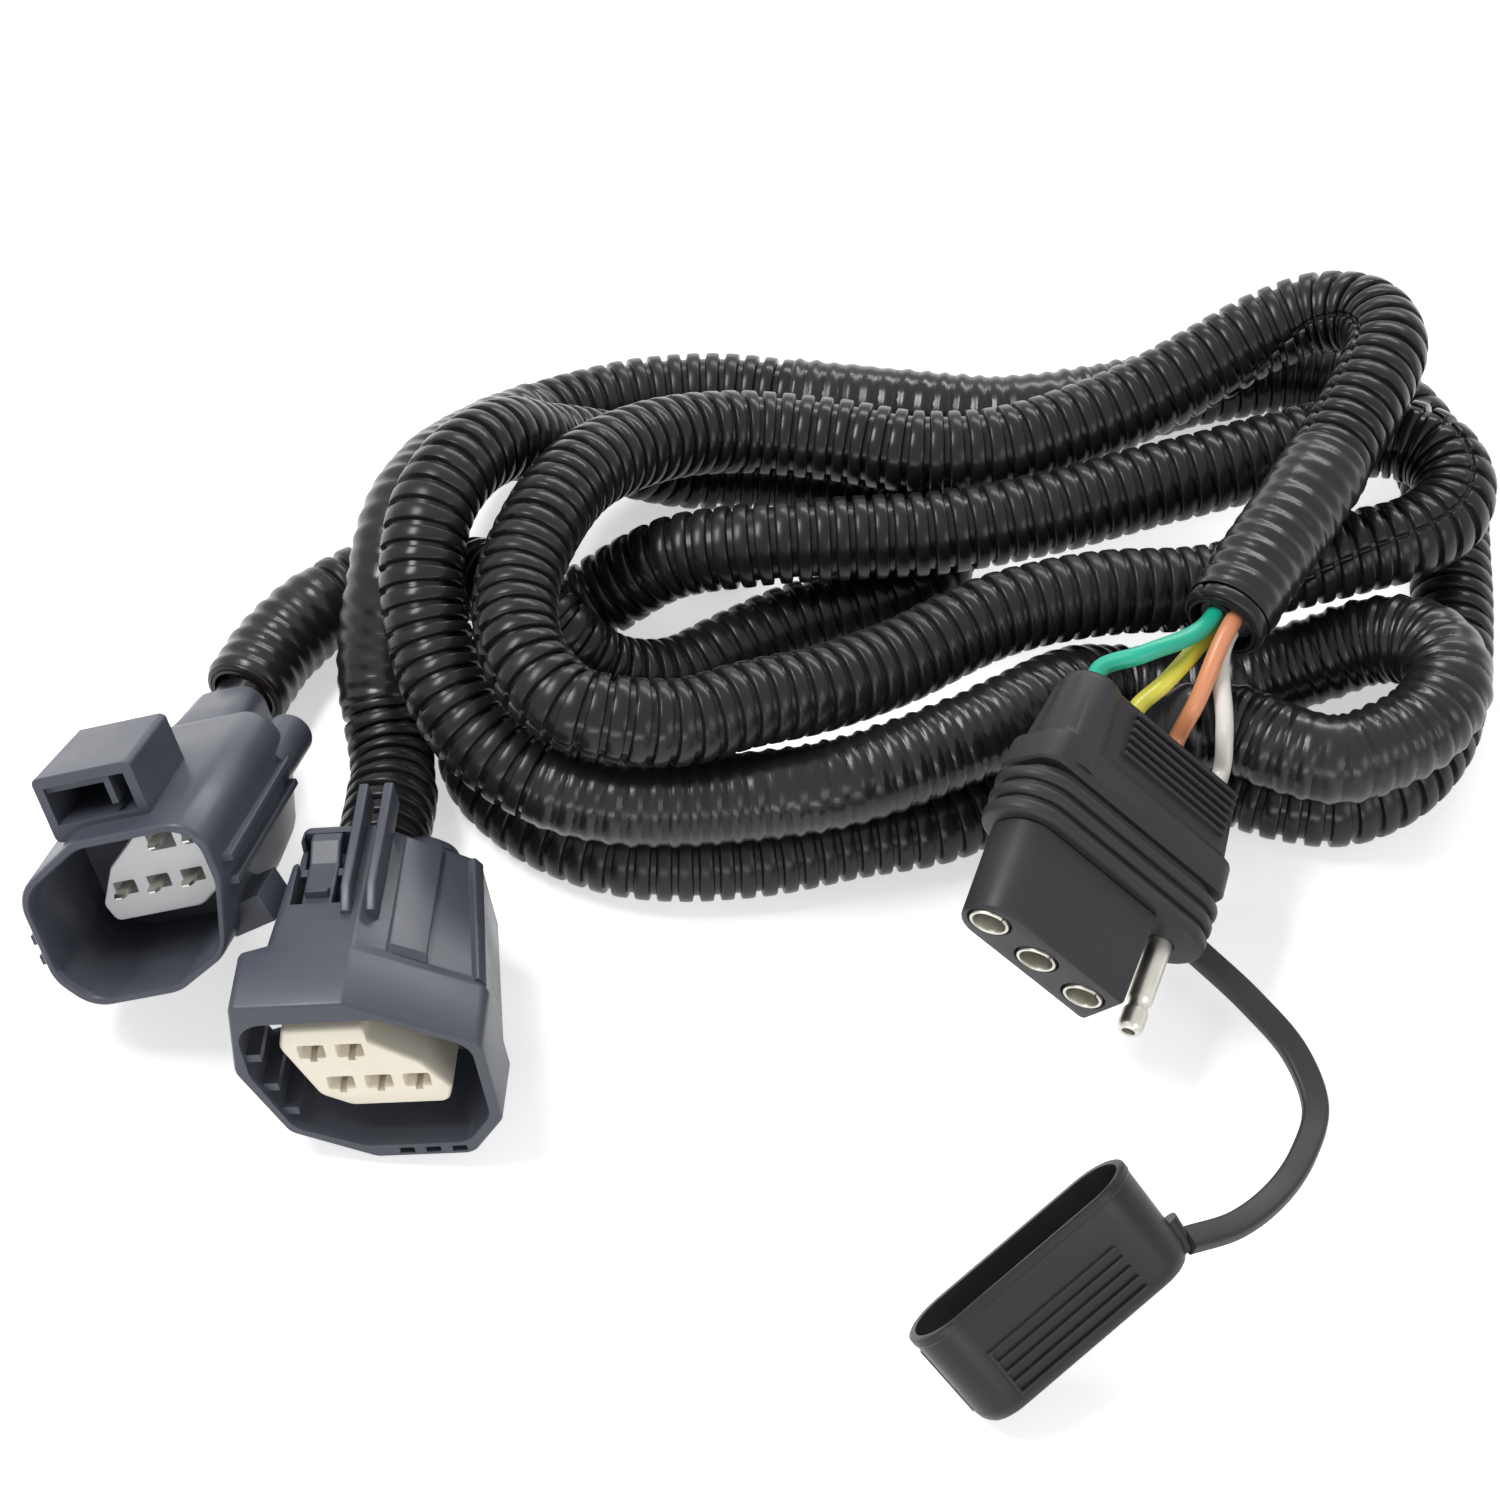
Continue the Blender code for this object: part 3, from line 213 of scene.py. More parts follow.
def finish(name, colour, roughness, metallic=0.0, mottle=0.12, patch=70.0, grain=2600.0, depth=0.05,
        edge=0.25, specular=0.5, warm=None):
    """A moulded or plated surface: slow patches of colour and gloss, a fine grain and eased edges."""
    made = bpy.data.materials.new(name)
    made.use_nodes = True
    nodes, links = made.node_tree.nodes, made.node_tree.links
    shader = nodes["Principled BSDF"]
    set_inputs(shader, Metallic=metallic, Specular_IOR_Level=specular)
    place = nodes.new("ShaderNodeTexCoord").outputs["Object"]

    slow = add_node(nodes, "TexNoise", Scale=patch, Detail=5.0)
    links.new(place, slow.inputs["Vector"])
    tint = add_node(nodes, "Mix")
    tint.data_type = "RGBA"
    other = warm or [channel * (1 + mottle) for channel in colour]
    tint.inputs["A"].default_value = (*[channel * (1 - mottle) for channel in colour], 1)
    tint.inputs["B"].default_value = (*other, 1)
    links.new(slow.outputs["Fac"], tint.inputs["Factor"])
    links.new(tint.outputs["Result"], shader.inputs["Base Color"])
    gloss = add_node(nodes, "MapRange", From_Min=0.3, From_Max=0.7, To_Min=max(0.05, roughness - 0.07),
        To_Max=roughness + 0.07)
    links.new(slow.outputs["Fac"], gloss.inputs["Value"])
    links.new(gloss.outputs["Result"], shader.inputs["Roughness"])

    fine = add_node(nodes, "TexNoise", Scale=grain, Detail=3.0)
    links.new(place, fine.inputs["Vector"])
    eased = add_node(nodes, "Bevel")
    eased.samples = 4
    set_inputs(eased, Radius=edge * MM)
    bump = add_node(nodes, "Bump", Strength=0.5, Distance=depth * MM)
    links.new(fine.outputs["Fac"], bump.inputs["Height"])
    links.new(eased.outputs["Normal"], bump.inputs["Normal"])
    links.new(bump.outputs["Normal"], shader.inputs["Normal"])
    return made


def tape_finish(name, colour, roughness, specular):
    """Wound tape: creases that run round the bundle, soft lengthwise puckers, and patches of gloss."""
    made = finish(name, colour, roughness, patch=55.0, grain=1500.0, depth=0.05, edge=0.15,
        specular=specular)
    nodes, links = made.node_tree.nodes, made.node_tree.links
    shader = nodes["Principled BSDF"]
    fine_bump = next(node for node in nodes if node.type == "BUMP")
    wound = add_node(nodes, "UVMap")
    wound.uv_map = "wound"
    last = fine_bump
    for scale, strength, height in (((3.0, 170.0), 0.35, 0.10), ((14.0, 24.0), 0.25, 0.10)):
        spread = add_node(nodes, "Mapping", Scale=(scale[0], scale[1], 1.0))
        links.new(wound.outputs["UV"], spread.inputs["Vector"])
        crease = add_node(nodes, "TexNoise", Scale=1.0, Detail=4.0, Distortion=0.6)
        links.new(spread.outputs["Vector"], crease.inputs["Vector"])
        bump = add_node(nodes, "Bump", Strength=strength, Distance=height * MM)
        links.new(crease.outputs["Fac"], bump.inputs["Height"])
        links.new(last.outputs["Normal"], bump.inputs["Normal"])
        last = bump
    links.new(last.outputs["Normal"], shader.inputs["Normal"])
    return made


# ---------------------------------------------------------------- solids in a connector's own frame

def frame_matrix(pose):
    place, (heading, pitch, roll) = pose
    turn = (Matrix.Rotation(math.radians(heading), 4, "Z") @ Matrix.Rotation(math.radians(pitch), 4, "X")
            @ Matrix.Rotation(math.radians(roll), 4, "Y"))
    shifted = [(a + b) * MM for a, b in zip(place, LAYOUT_SHIFT)]
    return Matrix.Translation(shifted) @ turn


def rounded_outline(corners, radii, steps=8):
    """A closed outline through the corners, each rounded by an arc; corners are (x, z) pairs in order."""
    points = []
    count = len(corners)
    if not isinstance(radii, (list, tuple)):
        radii = [radii] * count
    for index, corner in enumerate(corners):
        here = Vector(corner)
        before = Vector(corners[index - 1]) - here
        after = Vector(corners[(index + 1) % count]) - here
        half_angle = before.angle(after) / 2
        reach = min(radii[index] / math.tan(half_angle), before.length * 0.49, after.length * 0.49)
        radius = reach * math.tan(half_angle)
        outward = (before.normalized() + after.normalized()).normalized()
        middle = here + outward * radius / math.sin(half_angle)
        start = here + before.normalized() * reach - middle
        end = here + after.normalized() * reach - middle
        turn = start.angle_signed(end)
        for step in range(steps + 1):
            angle = -turn * step / steps
            cosine, sine = math.cos(angle), math.sin(angle)
            points.append((middle.x + start.x * cosine - start.y * sine, middle.y + start.x * sine
                + start.y * cosine))
    return points


def rectangle(width, height, radius, centre=(0.0, 0.0), steps=8):
    x, z = centre
    corners = [(x - width / 2, z - height / 2), (x + width / 2, z - height / 2),
               (x + width / 2, z + height / 2), (x - width / 2, z + height / 2)]
    return rounded_outline(corners, min(radius, width / 2, height / 2), steps)


def circle(radius, centre=(0.0, 0.0), sides=40):
    return [(centre[0] + radius * math.cos(2 * math.pi * step / sides),
             centre[1] + radius * math.sin(2 * math.pi * step / sides)) for step in range(sides)]


def scaled(corners, across, up):
    return [(x * across, z * up) for x, z in corners]


def leaning(corners, angle):
    cosine, sine = math.cos(math.radians(angle)), math.sin(math.radians(angle))
    return [(x * cosine - z * sine, x * sine + z * cosine) for x, z in corners]


def shifted(corners, across, up):
    return [(x + across, z + up) for x, z in corners]


def mirrored(corners):
    return [(-x, z) for x, z in reversed(corners)]


def add_object(name, solid, pose, material=None):
    """Turns a bmesh drawn in millimetres in a connector's frame into an object in the row frame."""
    bmesh.ops.recalc_face_normals(solid, faces=solid.faces)
    solid.transform(Matrix.Scale(MM, 4))
    if pose is not None:
        solid.transform(frame_matrix(pose))
    mesh = bpy.data.meshes.new(name)
    solid.to_mesh(mesh)
    solid.free()
    if material is not None:
        mesh.materials.append(material)
    return new_object(name, mesh)


def loft(name, sections, pose, material=None):
    """A closed solid through outlines of equal point count; each section is (y, outline)."""
    solid = bmesh.new()
    rings = [[solid.verts.new((x, y, z)) for x, z in outline] for y, outline in sections]
    for ring, following in zip(rings, rings[1:]):
        for index in range(len(ring)):
            other = (index + 1) % len(ring)
            solid.faces.new((ring[index], ring[other], following[other], following[index]))
    solid.faces.new(rings[0])
    solid.faces.new(rings[-1])
    return add_object(name, solid, pose, material)


def bars(rows, centre=(0.0, 0.0), steps=8):
    """Sections of rounded rectangles, from rows of (y, width, height, corner radius)."""
    return [(y, rectangle(width, height, radius, centre, steps)) for y, width, height, radius in rows]


def prism(name, outline, start, end, pose, material=None):
    return loft(name, [(start, outline), (end, outline)], pose, material)


def block(name, low, high, pose, turn=0.0):
    solid = bmesh.new()
    bmesh.ops.create_cube(solid, size=1.0)
    bmesh.ops.scale(solid, vec=[b - a for a, b in zip(low, high)], verts=solid.verts)
    bmesh.ops.rotate(solid, matrix=Matrix.Rotation(math.radians(turn), 3, "Y"), verts=solid.verts)
    bmesh.ops.translate(solid, vec=[(a + b) / 2 for a, b in zip(low, high)], verts=solid.verts)
    return add_object(name, solid, pose)


def turned(name, profile, centre, pose, material, sides=48):
    """A solid of revolution about an axis along Y; the profile runs (radius, y) from axis to axis."""
    solid = bmesh.new()
    rings = []
    for radius, y in profile:
        if radius == 0:
            rings.append([solid.verts.new((centre[0], y, centre[1]))])
        else:
            rings.append([solid.verts.new((x, y, z)) for x, z in circle(radius, centre, sides)])
    for ring, following in zip(rings, rings[1:]):
        for index in range(sides):
            other = (index + 1) % sides
            corners = [ring[index % len(ring)], ring[other % len(ring)],
                       following[other % len(following)], following[index % len(following)]]
            solid.faces.new(list(dict.fromkeys(corners)))
    return add_object(name, solid, pose, material)


def carve(obj, tools):
    """Joins or cuts each tool in order, given as (operation, tool), then shades the result."""
    for operation, tool in tools:
        modifier = obj.modifiers.new(tool.name, "BOOLEAN")
        modifier.operation = operation
        modifier.object = tool
    bpy.context.view_layer.update()
    made = bpy.data.meshes.new_from_object(obj.evaluated_get(bpy.context.evaluated_depsgraph_get()))
    obj.modifiers.clear()
    obj.data = made
    for _, tool in tools:
        bpy.data.objects.remove(tool, do_unlink=True)
    made.shade_smooth()
    made.set_sharp_from_angle(angle=math.radians(32))
    return obj


def wear(obj, body, *nodes, slot=None):
    """Puts a finished piece on its body, in place of the plain solids that it stands for."""
    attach(obj, body)
    if nodes:
        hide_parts(*nodes)
    return obj


JOIN = "UNION"
CUT = "DIFFERENCE"


# ---------------------------------------------------------------- sweeps along a route

def shift(route):
    return [Vector(point) + Vector(LAYOUT_SHIFT) for point in route]


def smooth_route(route, spacing):
    """Points at an even spacing on a centripetal curve through the route's own points."""
    ends = [route[0] * 2 - route[1]] + list(route) + [route[-1] * 2 - route[-2]]
    fine = []
    for p0, p1, p2, p3 in zip(ends, ends[1:], ends[2:], ends[3:]):
        a, b, c = (p1 - p0).length ** 0.5, (p2 - p1).length ** 0.5, (p3 - p2).length ** 0.5
        leave = ((p1 - p0) / a ** 2 - (p2 - p0) / (a ** 2 + b ** 2) + (p2 - p1) / b ** 2) * b ** 2
        arrive = ((p2 - p1) / b ** 2 - (p3 - p1) / (b ** 2 + c ** 2) + (p3 - p2) / c ** 2) * b ** 2
        for step in range(16):
            t = step / 16
            fine.append(p1 * (2 * t ** 3 - 3 * t ** 2 + 1) + leave * (t ** 3 - 2 * t ** 2 + t)
                        + p2 * (3 * t ** 2 - 2 * t ** 3) + arrive * (t ** 3 - t ** 2))
    fine.append(route[-1])
    along = [0.0]
    for first, second in zip(fine, fine[1:]):
        along.append(along[-1] + (second - first).length)
    count = max(2, round(along[-1] / spacing))
    points, index = [], 0
    for step in range(count + 1):
        target = along[-1] * step / count
        while index < len(fine) - 2 and along[index + 1] < target:
            index += 1
        span = along[index + 1] - along[index]
        points.append(fine[index].lerp(fine[index + 1], (target - along[index]) / span))
    return points, along[-1]


class Path:
    """A route in millimetres with a frame that doesn't twist, read at any distance along it."""

    def __init__(self, route, spacing=1.0):
        points, self.length = smooth_route(route, spacing)
        self.points = np.array([list(point) for point in points])
        self.along = np.linspace(0.0, self.length, len(points))
        ahead = np.gradient(self.points, axis=0)
        ahead /= np.linalg.norm(ahead, axis=1)[:, None]
        side = np.zeros_like(ahead)
        last = np.cross(ahead[0], (0.0, 0.0, 1.0))
        for index, direction in enumerate(ahead):
            last = last - direction * last.dot(direction)
            last /= np.linalg.norm(last)
            side[index] = last
        self.side, self.ahead = side, ahead

    def at(self, distance):
        distance = np.clip(distance, 0.0, self.length)
        read = [np.stack([np.interp(distance, self.along, field[:, axis]) for axis in range(3)], axis=-1)
                for field in (self.points, self.side, self.ahead)]
        middle, side, ahead = read
        ahead /= np.linalg.norm(ahead, axis=-1)[..., None]
        side -= ahead * (side * ahead).sum(-1)[..., None]
        side /= np.linalg.norm(side, axis=-1)[..., None]
        return middle, side, np.cross(side, ahead)

    def metres(self, start=0.0, end=1.0, spacing=3.0):
        count = max(4, round((end - start) * self.length / spacing))
        middle, _, _ = self.at(np.linspace(start, end, count + 1) * self.length)
        return (middle * MM).tolist()


def skin(name, rings, material, uv=None):
    """A closed tube from an array of rings (rings, sides, 3) in millimetres."""
    count, sides, _ = rings.shape
    index = np.arange(count * sides).reshape(count, sides)
    quads = np.stack([index[:-1], np.roll(index, -1, 1)[:-1], np.roll(index, -1, 1)[1:], index[1:]],
        -1).reshape(-1, 4)
    faces = quads[:, ::-1].tolist()
    faces.append(index[0].tolist())
    faces.append(index[-1][::-1].tolist())
    mesh = bpy.data.meshes.new(name)
    mesh.from_pydata((rings.reshape(-1, 3) * MM).tolist(), [], faces)
    mesh.materials.append(material)
    if uv is not None:
        layer = mesh.uv_layers.new(name="wound")
        corner = np.zeros(len(mesh.loops), np.int32)
        mesh.loops.foreach_get("vertex_index", corner)
        flat = uv.reshape(-1, 2)[corner]
        turn = flat[:, 0].copy()
        for polygon in mesh.polygons:
            span = slice(polygon.loop_start, polygon.loop_start + polygon.loop_total)
            if polygon.loop_total == 4 and np.ptp(turn[span]) > 0.5:
                turn[span] = np.where(turn[span] < 0.5, turn[span] + 1, turn[span])
        flat[:, 0] = turn
        layer.data.foreach_set("uv", flat.astype(np.float32).ravel())
    mesh.shade_smooth()
    mesh.set_sharp_from_angle(angle=math.radians(50))
    return new_object(name, mesh)


def swell(distance, angle, seed, size):
    """A smooth, repeatable unevenness over a tube's surface, between -1 and 1."""
    total = np.zeros(np.broadcast(distance, angle).shape)
    for number in range(1, 6):
        step = (seed * 12.9898 + number * 78.233) % 6.283
        wave = distance / size * (0.7 + 0.61 * number)
        total = total + np.sin(wave + step + (number % 3) * angle + 0.8 * number)
    return total / 5


def turns_towards(path, distance, faced):
    """The angle round the tube that faces each of the directions listed as (distance, direction)."""
    places = [place for place, _ in faced]
    facing = np.stack([np.interp(distance, places, [way[axis] for _, way in faced]) for axis in range(3)],
        -1)
    _, side, up = path.at(distance)
    angle = np.unwrap(np.arctan2((facing * up).sum(-1), (facing * side).sum(-1)))
    spread = np.ones(41) / 41
    return np.convolve(np.pad(angle, 20, mode="edge"), spread, mode="valid")


def loom(name, path, material, slit_facing, ends=(1.0, 1.0), seed=1):
    """Corrugated loom: rounded crests, flat valleys, a lengthwise slit and an open bore at both ends."""
    profile = ((0.00, 0.0), (0.20, 0.0), (0.27, 0.86), (0.34, 0.97), (0.58, 1.0), (0.82, 0.97),
        (0.89, 0.86), (0.96, 0.0))
    ribs = round(path.length / RIB_PITCH)
    pitch = path.length / ribs
    distance = np.array([(rib + share) * pitch for rib in range(ribs) for share, _ in profile]
        + [path.length])
    height = np.array([rise for _ in range(ribs) for _, rise in profile] + [0.0])
    angles = [0.0, 1.6, 3.4, 7.0] + [7.0 + 346.0 * step / 26 for step in range(1, 26)] + [353.0, 356.6,
        358.4]
    angles = np.radians(angles)
    opened = {0: 1.0, 1: 1.0, 2: 0.35, len(angles) - 2: 0.2, len(angles) - 1: 1.0}
    valley = LOOM_DIAMETER / 2 - RIB_DEPTH
    radius = np.repeat((valley + RIB_DEPTH * height)[:, None], len(angles), axis=1)
    slit = turns_towards(path, distance, slit_facing)
    for column, share in opened.items():
        radius[:, column] -= 0.8 * share * (0.25 + 0.75 * height)
    radius[:, 3] += 0.10 * height
    radius += 0.05 * swell(distance[:, None], angles[None, :], seed, 9.0)
    near = np.minimum(distance, path.length - distance)
    scale = np.where(distance < path.length / 2, ends[0], ends[1])
    radius *= (1 + (scale - 1) * np.clip((17.0 - near) / 1.6, 0, 1))[:, None]
    middle, side, up = path.at(distance)
    turn = (slit[:, None] + angles[None, :])[..., None]
    rings = middle[:, None] + radius[..., None] * (np.cos(turn) * side[:, None]
        + np.sin(turn) * up[:, None])
    bore = []
    for end in (0.0, path.length):
        inward = 1 if end == 0.0 else -1
        inner = [(end, LOOM_LIP), (end, LOOM_BORE), (end + inward * LOOM_BORE_DEPTH, LOOM_BORE)]
        if end == 0.0:
            inner = inner[::-1]
        for place, wall in inner:
            centre, side, up = path.at(np.array([place]))
            turn = (slit[0 if end == 0.0 else -1] + angles)[:, None]
            bore.append(centre[0] + wall * (np.cos(turn) * side[0] + np.sin(turn) * up[0]))
    rings = np.concatenate([np.array(bore[:3]), rings, np.array(bore[3:])])
    return skin(name, rings, material)


def wrap(name, path, start, end, material, seed, ribs=0.12, mouth=(None, None), sides=44):
    """Tape wound in overlapping turns, which shows the loom's ribs through it and draws in at its ends."""
    low, high = start * path.length, end * path.length
    distance = np.arange(low, high + 0.01, 0.7)
    distance += (high - distance[-1]) * (distance - low) / (distance[-1] - low)
    angles = np.linspace(0, 2 * math.pi, sides, endpoint=False)
    across, along = angles[None, :], distance[:, None]
    turns = along / TAPE_ADVANCE + across / (2 * math.pi) + 0.10 * swell(along, across, seed, 13.0)
    lap = turns % 1.0
    step = np.where(lap < 0.9, lap / 0.9, (1 - lap) / 0.1)
    shown = np.clip(0.8 + 0.7 * swell(along, across, seed + 3, 17.0), 0.25, 1)
    radius = (TAPE_DIAMETER / 2 - 0.15 - ribs + 0.12 * step
        + ribs * shown * np.cos(along / RIB_PITCH * 2 * math.pi)
        + 0.09 * swell(along, across, seed + 7, 9.0) + 0.05 * swell(along * 3, across * 2, seed + 9, 9.0))
    radius = np.minimum(radius, TAPE_DIAMETER / 2)
    near = np.minimum(along - low, high - along)
    radius = radius - 0.35 * np.clip(1 - near / 1.4, 0, 1)
    middle, side, up = path.at(distance)
    turn = np.broadcast_to(across, radius.shape)[..., None]
    rings = middle[:, None] + radius[..., None] * (np.cos(turn) * side[:, None]
        + np.sin(turn) * up[:, None])
    rings = list(rings)
    distances = list(distance)
    for at_start, narrow in ((True, mouth[0]), (False, mouth[1])):
        edge = low if at_start else high
        outward = -1 if at_start else 1
        centre, side, up = path.at(np.array([edge]))
        ahead = np.cross(up[0], side[0]) * -1
        lips = ((0.0, 6.9), (0.0, 6.7)) if narrow is None else ((0.7, narrow + 1.4), (1.2, narrow),
            (-2.5, narrow - 0.5))
        made = []
        for forward, wall in lips:
            crumple = 0.7 * np.sin(3 * angles + seed) + 0.9 * swell(wall * 3.0, angles, seed, 2.0)
            uneven = wall + crumple * (narrow is not None)
            turn = angles[:, None]
            made.append(centre[0] + ahead * outward * forward
                        + uneven[:, None] * (np.cos(turn) * side[0] + np.sin(turn) * up[0]))
        if at_start:
            rings = made[::-1] + rings
            distances = [edge] * len(made) + distances
        else:
            rings = rings + made
            distances = distances + [edge] * len(made)
    uv = np.stack([np.broadcast_to(angles / (2 * math.pi), (len(rings), sides)),
        np.broadcast_to(np.array(distances)[:, None] / 100.0, (len(rings), sides))], -1)
    return skin(name, np.array(rings), material, uv)


def build_splice(trunk_end, socket_start, pin_start, material):
    """The tape round the fork: round at the trunk, tall where the two legs leave one above the other."""
    start, end = trunk_end[0] + GAP, socket_start[0] - 3 * GAP
    low, high = socket_start[2], pin_start[2]
    stations = np.linspace(start, end, 38)
    angles = np.linspace(0, math.pi, 22)
    rings, uv = [], []
    for x in stations:
        share = (x - start) / (end - start)
        ease = share * share * (3 - 2 * share)
        top = low + (high - low) * ease
        y = trunk_end[1] + (socket_start[1] - trunk_end[1]) * share
        pinch = 1.7 * ease
        outline = []
        for lean, arc, near, far in ((-1.0, 0.0, top, low), (1.0, math.pi, low, top)):
            outline += [(math.cos(a), math.sin(a), near, 0.0) for a in angles + arc]
            outline += [(lean, 0.0, near + (far - near) * share, pinch * math.sin(math.pi * share))
                        for share in (0.2, 0.4, 0.6, 0.8)]
        ring, around = [], []
        for place, (cosine, sine, centre, drawn) in enumerate(outline):
            turn = place / len(outline) * 2 * math.pi
            lap = ((x - start) / 8.0 + turn / (2 * math.pi)) % 1.0
            step = lap / 0.9 if lap < 0.9 else (1 - lap) / 0.1
            radius = 7.92 + 0.22 * step + 0.14 * float(swell(np.array(x), np.array(turn), 4, 5.0))
            radius = min(radius, TAPE_DIAMETER / 2) - drawn - 0.3 * max(0, 1
                - min(x - start, end - x) / 1.2)
            ring.append((x, y + radius * cosine, centre + radius * sine))
            around.append((place / len(outline), (x - start) / 100.0))
        rings.append(ring)
        uv.append(around)
    obj = skin("splice_tape", np.array(rings), material, np.array(uv))
    bmesh_made = bmesh.new()
    bmesh_made.from_mesh(obj.data)
    bmesh.ops.recalc_face_normals(bmesh_made, faces=bmesh_made.faces)
    bmesh_made.to_mesh(obj.data)
    bmesh_made.free()
    return obj


def wire(name, route, material, sides=18):
    path = Path(route, 0.6)
    distance = np.arange(0.0, path.length, 0.7)
    angles = np.linspace(0, 2 * math.pi, sides, endpoint=False)
    radius = WIRE_DIAMETER / 2 + 0.02 * swell(distance[:, None], angles[None, :], 2, 3.0)
    middle, side, up = path.at(distance)
    turn = np.broadcast_to(angles[None, :], radius.shape)[..., None]
    rings = middle[:, None] + radius[..., None] * (np.cos(turn) * side[:, None]
        + np.sin(turn) * up[:, None])
    return skin(name, rings, material)


# ---------------------------------------------------------------- looms, tape and wires

def build_cords():
    trunk, socket_leg, pin_leg = (Path(shift(route)) for route
        in (TRUNK_ROUTE, SOCKET_LEG_ROUTE, PIN_LEG_ROUTE))
    trunk_loom = wear(loom("trunk_loom", trunk, loom_black, TRUNK_SLIT, seed=1), "harness", "loom_trunk",
        slot="loom_polyethylene_black")
    socket_loom = wear(loom("socket_leg_loom", socket_leg, loom_black, SOCKET_LEG_SLIT, (1.0, 1.07),
        seed=2), "harness", "loom_socket_leg", slot="loom_polyethylene_black")
    pin_loom = wear(loom("pin_leg_loom", pin_leg, loom_black, PIN_LEG_SLIT, seed=3), "harness",
        "loom_pin_leg", slot="loom_polyethylene_black")
    tapes = {}
    for name, node, path, start, end, ribs, mouth in (
            ("trunk_end_tape", "wrap_trunk_end", trunk, 0.004, 0.052, 0.24, (5.0, None)),
            ("socket_back_tape", "wrap_socket_back", socket_leg, 0.42, 0.60, 0.34, (None, None)),
            ("socket_end_tape", "wrap_socket_end", socket_leg, 0.72, 0.92, 0.22, (None, None)),
            ("pin_run_tape", "wrap_pin_run", pin_leg, 0.0, 0.40, 0.40, (None, None)),
            ("pin_end_tape", "wrap_pin_end", pin_leg, 0.955, 0.999, 0.26, (None, 5.2))):
        tape = wrap(name, path, start, end, tape_black, len(tapes) + 1, ribs, mouth)
        tapes[name] = wear(tape, "harness", node, slot="pvc_tape_black")
    splice = build_splice(trunk.points[-1], socket_leg.points[0], pin_leg.points[0], tape_black)
    wear(splice, "harness", "wrap_splice", slot="pvc_tape_black")

    to_world = frame_matrix(PLUG_POSE)
    loom_mouth = shift(TRUNK_ROUTE[:2])
    inward = (loom_mouth[1] - loom_mouth[0]).normalized()
    side = inward.cross(Vector((0, 0, 1))).normalized()
    up = side.cross(inward)
    spread = WIRE_DIAMETER * 0.62
    for index, (colour, (across, rise)) in enumerate(zip(("green", "yellow", "brown", "white"),
            ((-1, 1), (-1, -1), (1, 1), (1, -1)))):
        x = WIRE_PITCH * (1.5 - index)
        depth = 1.4 if index == 0 else GAP
        start = to_world @ (Vector((x, PLUG_REAR - depth, WIRE_RISES[index])) * MM) / MM
        leave = to_world @ (Vector((x, PLUG_REAR - depth - 2, WIRE_RISES[index])) * MM) / MM
        mouth = loom_mouth[0] + side * across * spread + up * rise * spread
        bow = start.lerp(mouth, 0.4) + Vector((0, -0.57, 0.82)) * WIRE_BOWS[index]
        made = wire(f"lead_{colour}", [start, leave, bow, mouth - inward * 3, mouth + inward * 10],
                    wire_paint[colour])
        wear(made, "harness", f"wire_{colour}", slot=f"wire_pvc_{colour}")

    to_world = frame_matrix(PIN_POSE)
    last, before = Vector(pin_leg.points[-1]), Vector(pin_leg.points[-4])
    inward = (before - last).normalized()
    side = inward.cross(Vector((0, 0, 1))).normalized()
    for colour, x, across in (("white", 0.6, -1), ("orange", -3.6, 1)):
        start = to_world @ (Vector((x, -54.5, 6.2)) * MM) / MM
        leave = to_world @ (Vector((x, -62.0, 6.2)) * MM) / MM
        mouth = last + side * across * 1.9 + Vector((0, 0, 0.6))
        made = wire(f"lead_{colour}_rear", [start, leave, mouth - inward, mouth + inward * 8],
            wire_paint[colour])
        wear(made, "harness", f"wire_{colour}_rear", slot=f"wire_pvc_{colour}")

    trunk.metres()
    socket_leg.metres()
    pin_leg.metres()
    pin_leg.metres(0.0, 0.40)


def build_strap():
    """The cap's flat moulded strap, swept as a rounded band along its route."""
    route = shift(STRAP_ROUTE)
    route[0] += (route[0] - route[1]).normalized() * 2.2
    route[-1] += (route[-1] - route[-2]).normalized() * 2.2
    path = Path(route, 0.8)
    distance = np.linspace(0, path.length, 90)
    middle, _, _ = path.at(distance)
    ahead = np.gradient(middle, axis=0)
    ahead /= np.linalg.norm(ahead, axis=1)[:, None]
    across = np.cross(ahead, (0.0, 0.0, 1.0))
    across /= np.linalg.norm(across, axis=1)[:, None]
    up = np.cross(across, ahead)
    outline = np.array(rectangle(4.6, 3.0, 0.8, steps=4))
    rings = (middle[:, None] + outline[None, :, 0, None] * across[:, None]
        + outline[None, :, 1, None] * up[:, None])
    strap = skin("strap", rings, plug_black)
    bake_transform(strap)
    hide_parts("cap_strap")


# ---------------------------------------------------------------- four-way flat plug

def contact_x(index):
    return CONTACT_PITCH * (1.5 - index)


def lip(start, end, width, height, depth=1.2):
    """Sections of one rounded lip of the flange, which stands proud of the grooves beside it."""
    shape = ((0.0, depth), (0.12, 0.75), (0.35, 0.3), (0.75, 0.05), (1.1, 0.0))
    rise = [(start + y, drop) for y, drop in shape]
    fall = [(end - y, drop) for y, drop in reversed(shape)]
    return [(y, rectangle(width - 2 * drop, height - 2 * drop, (height - 2 * drop) / 2 - 0.3))
            for y, drop in rise + fall]


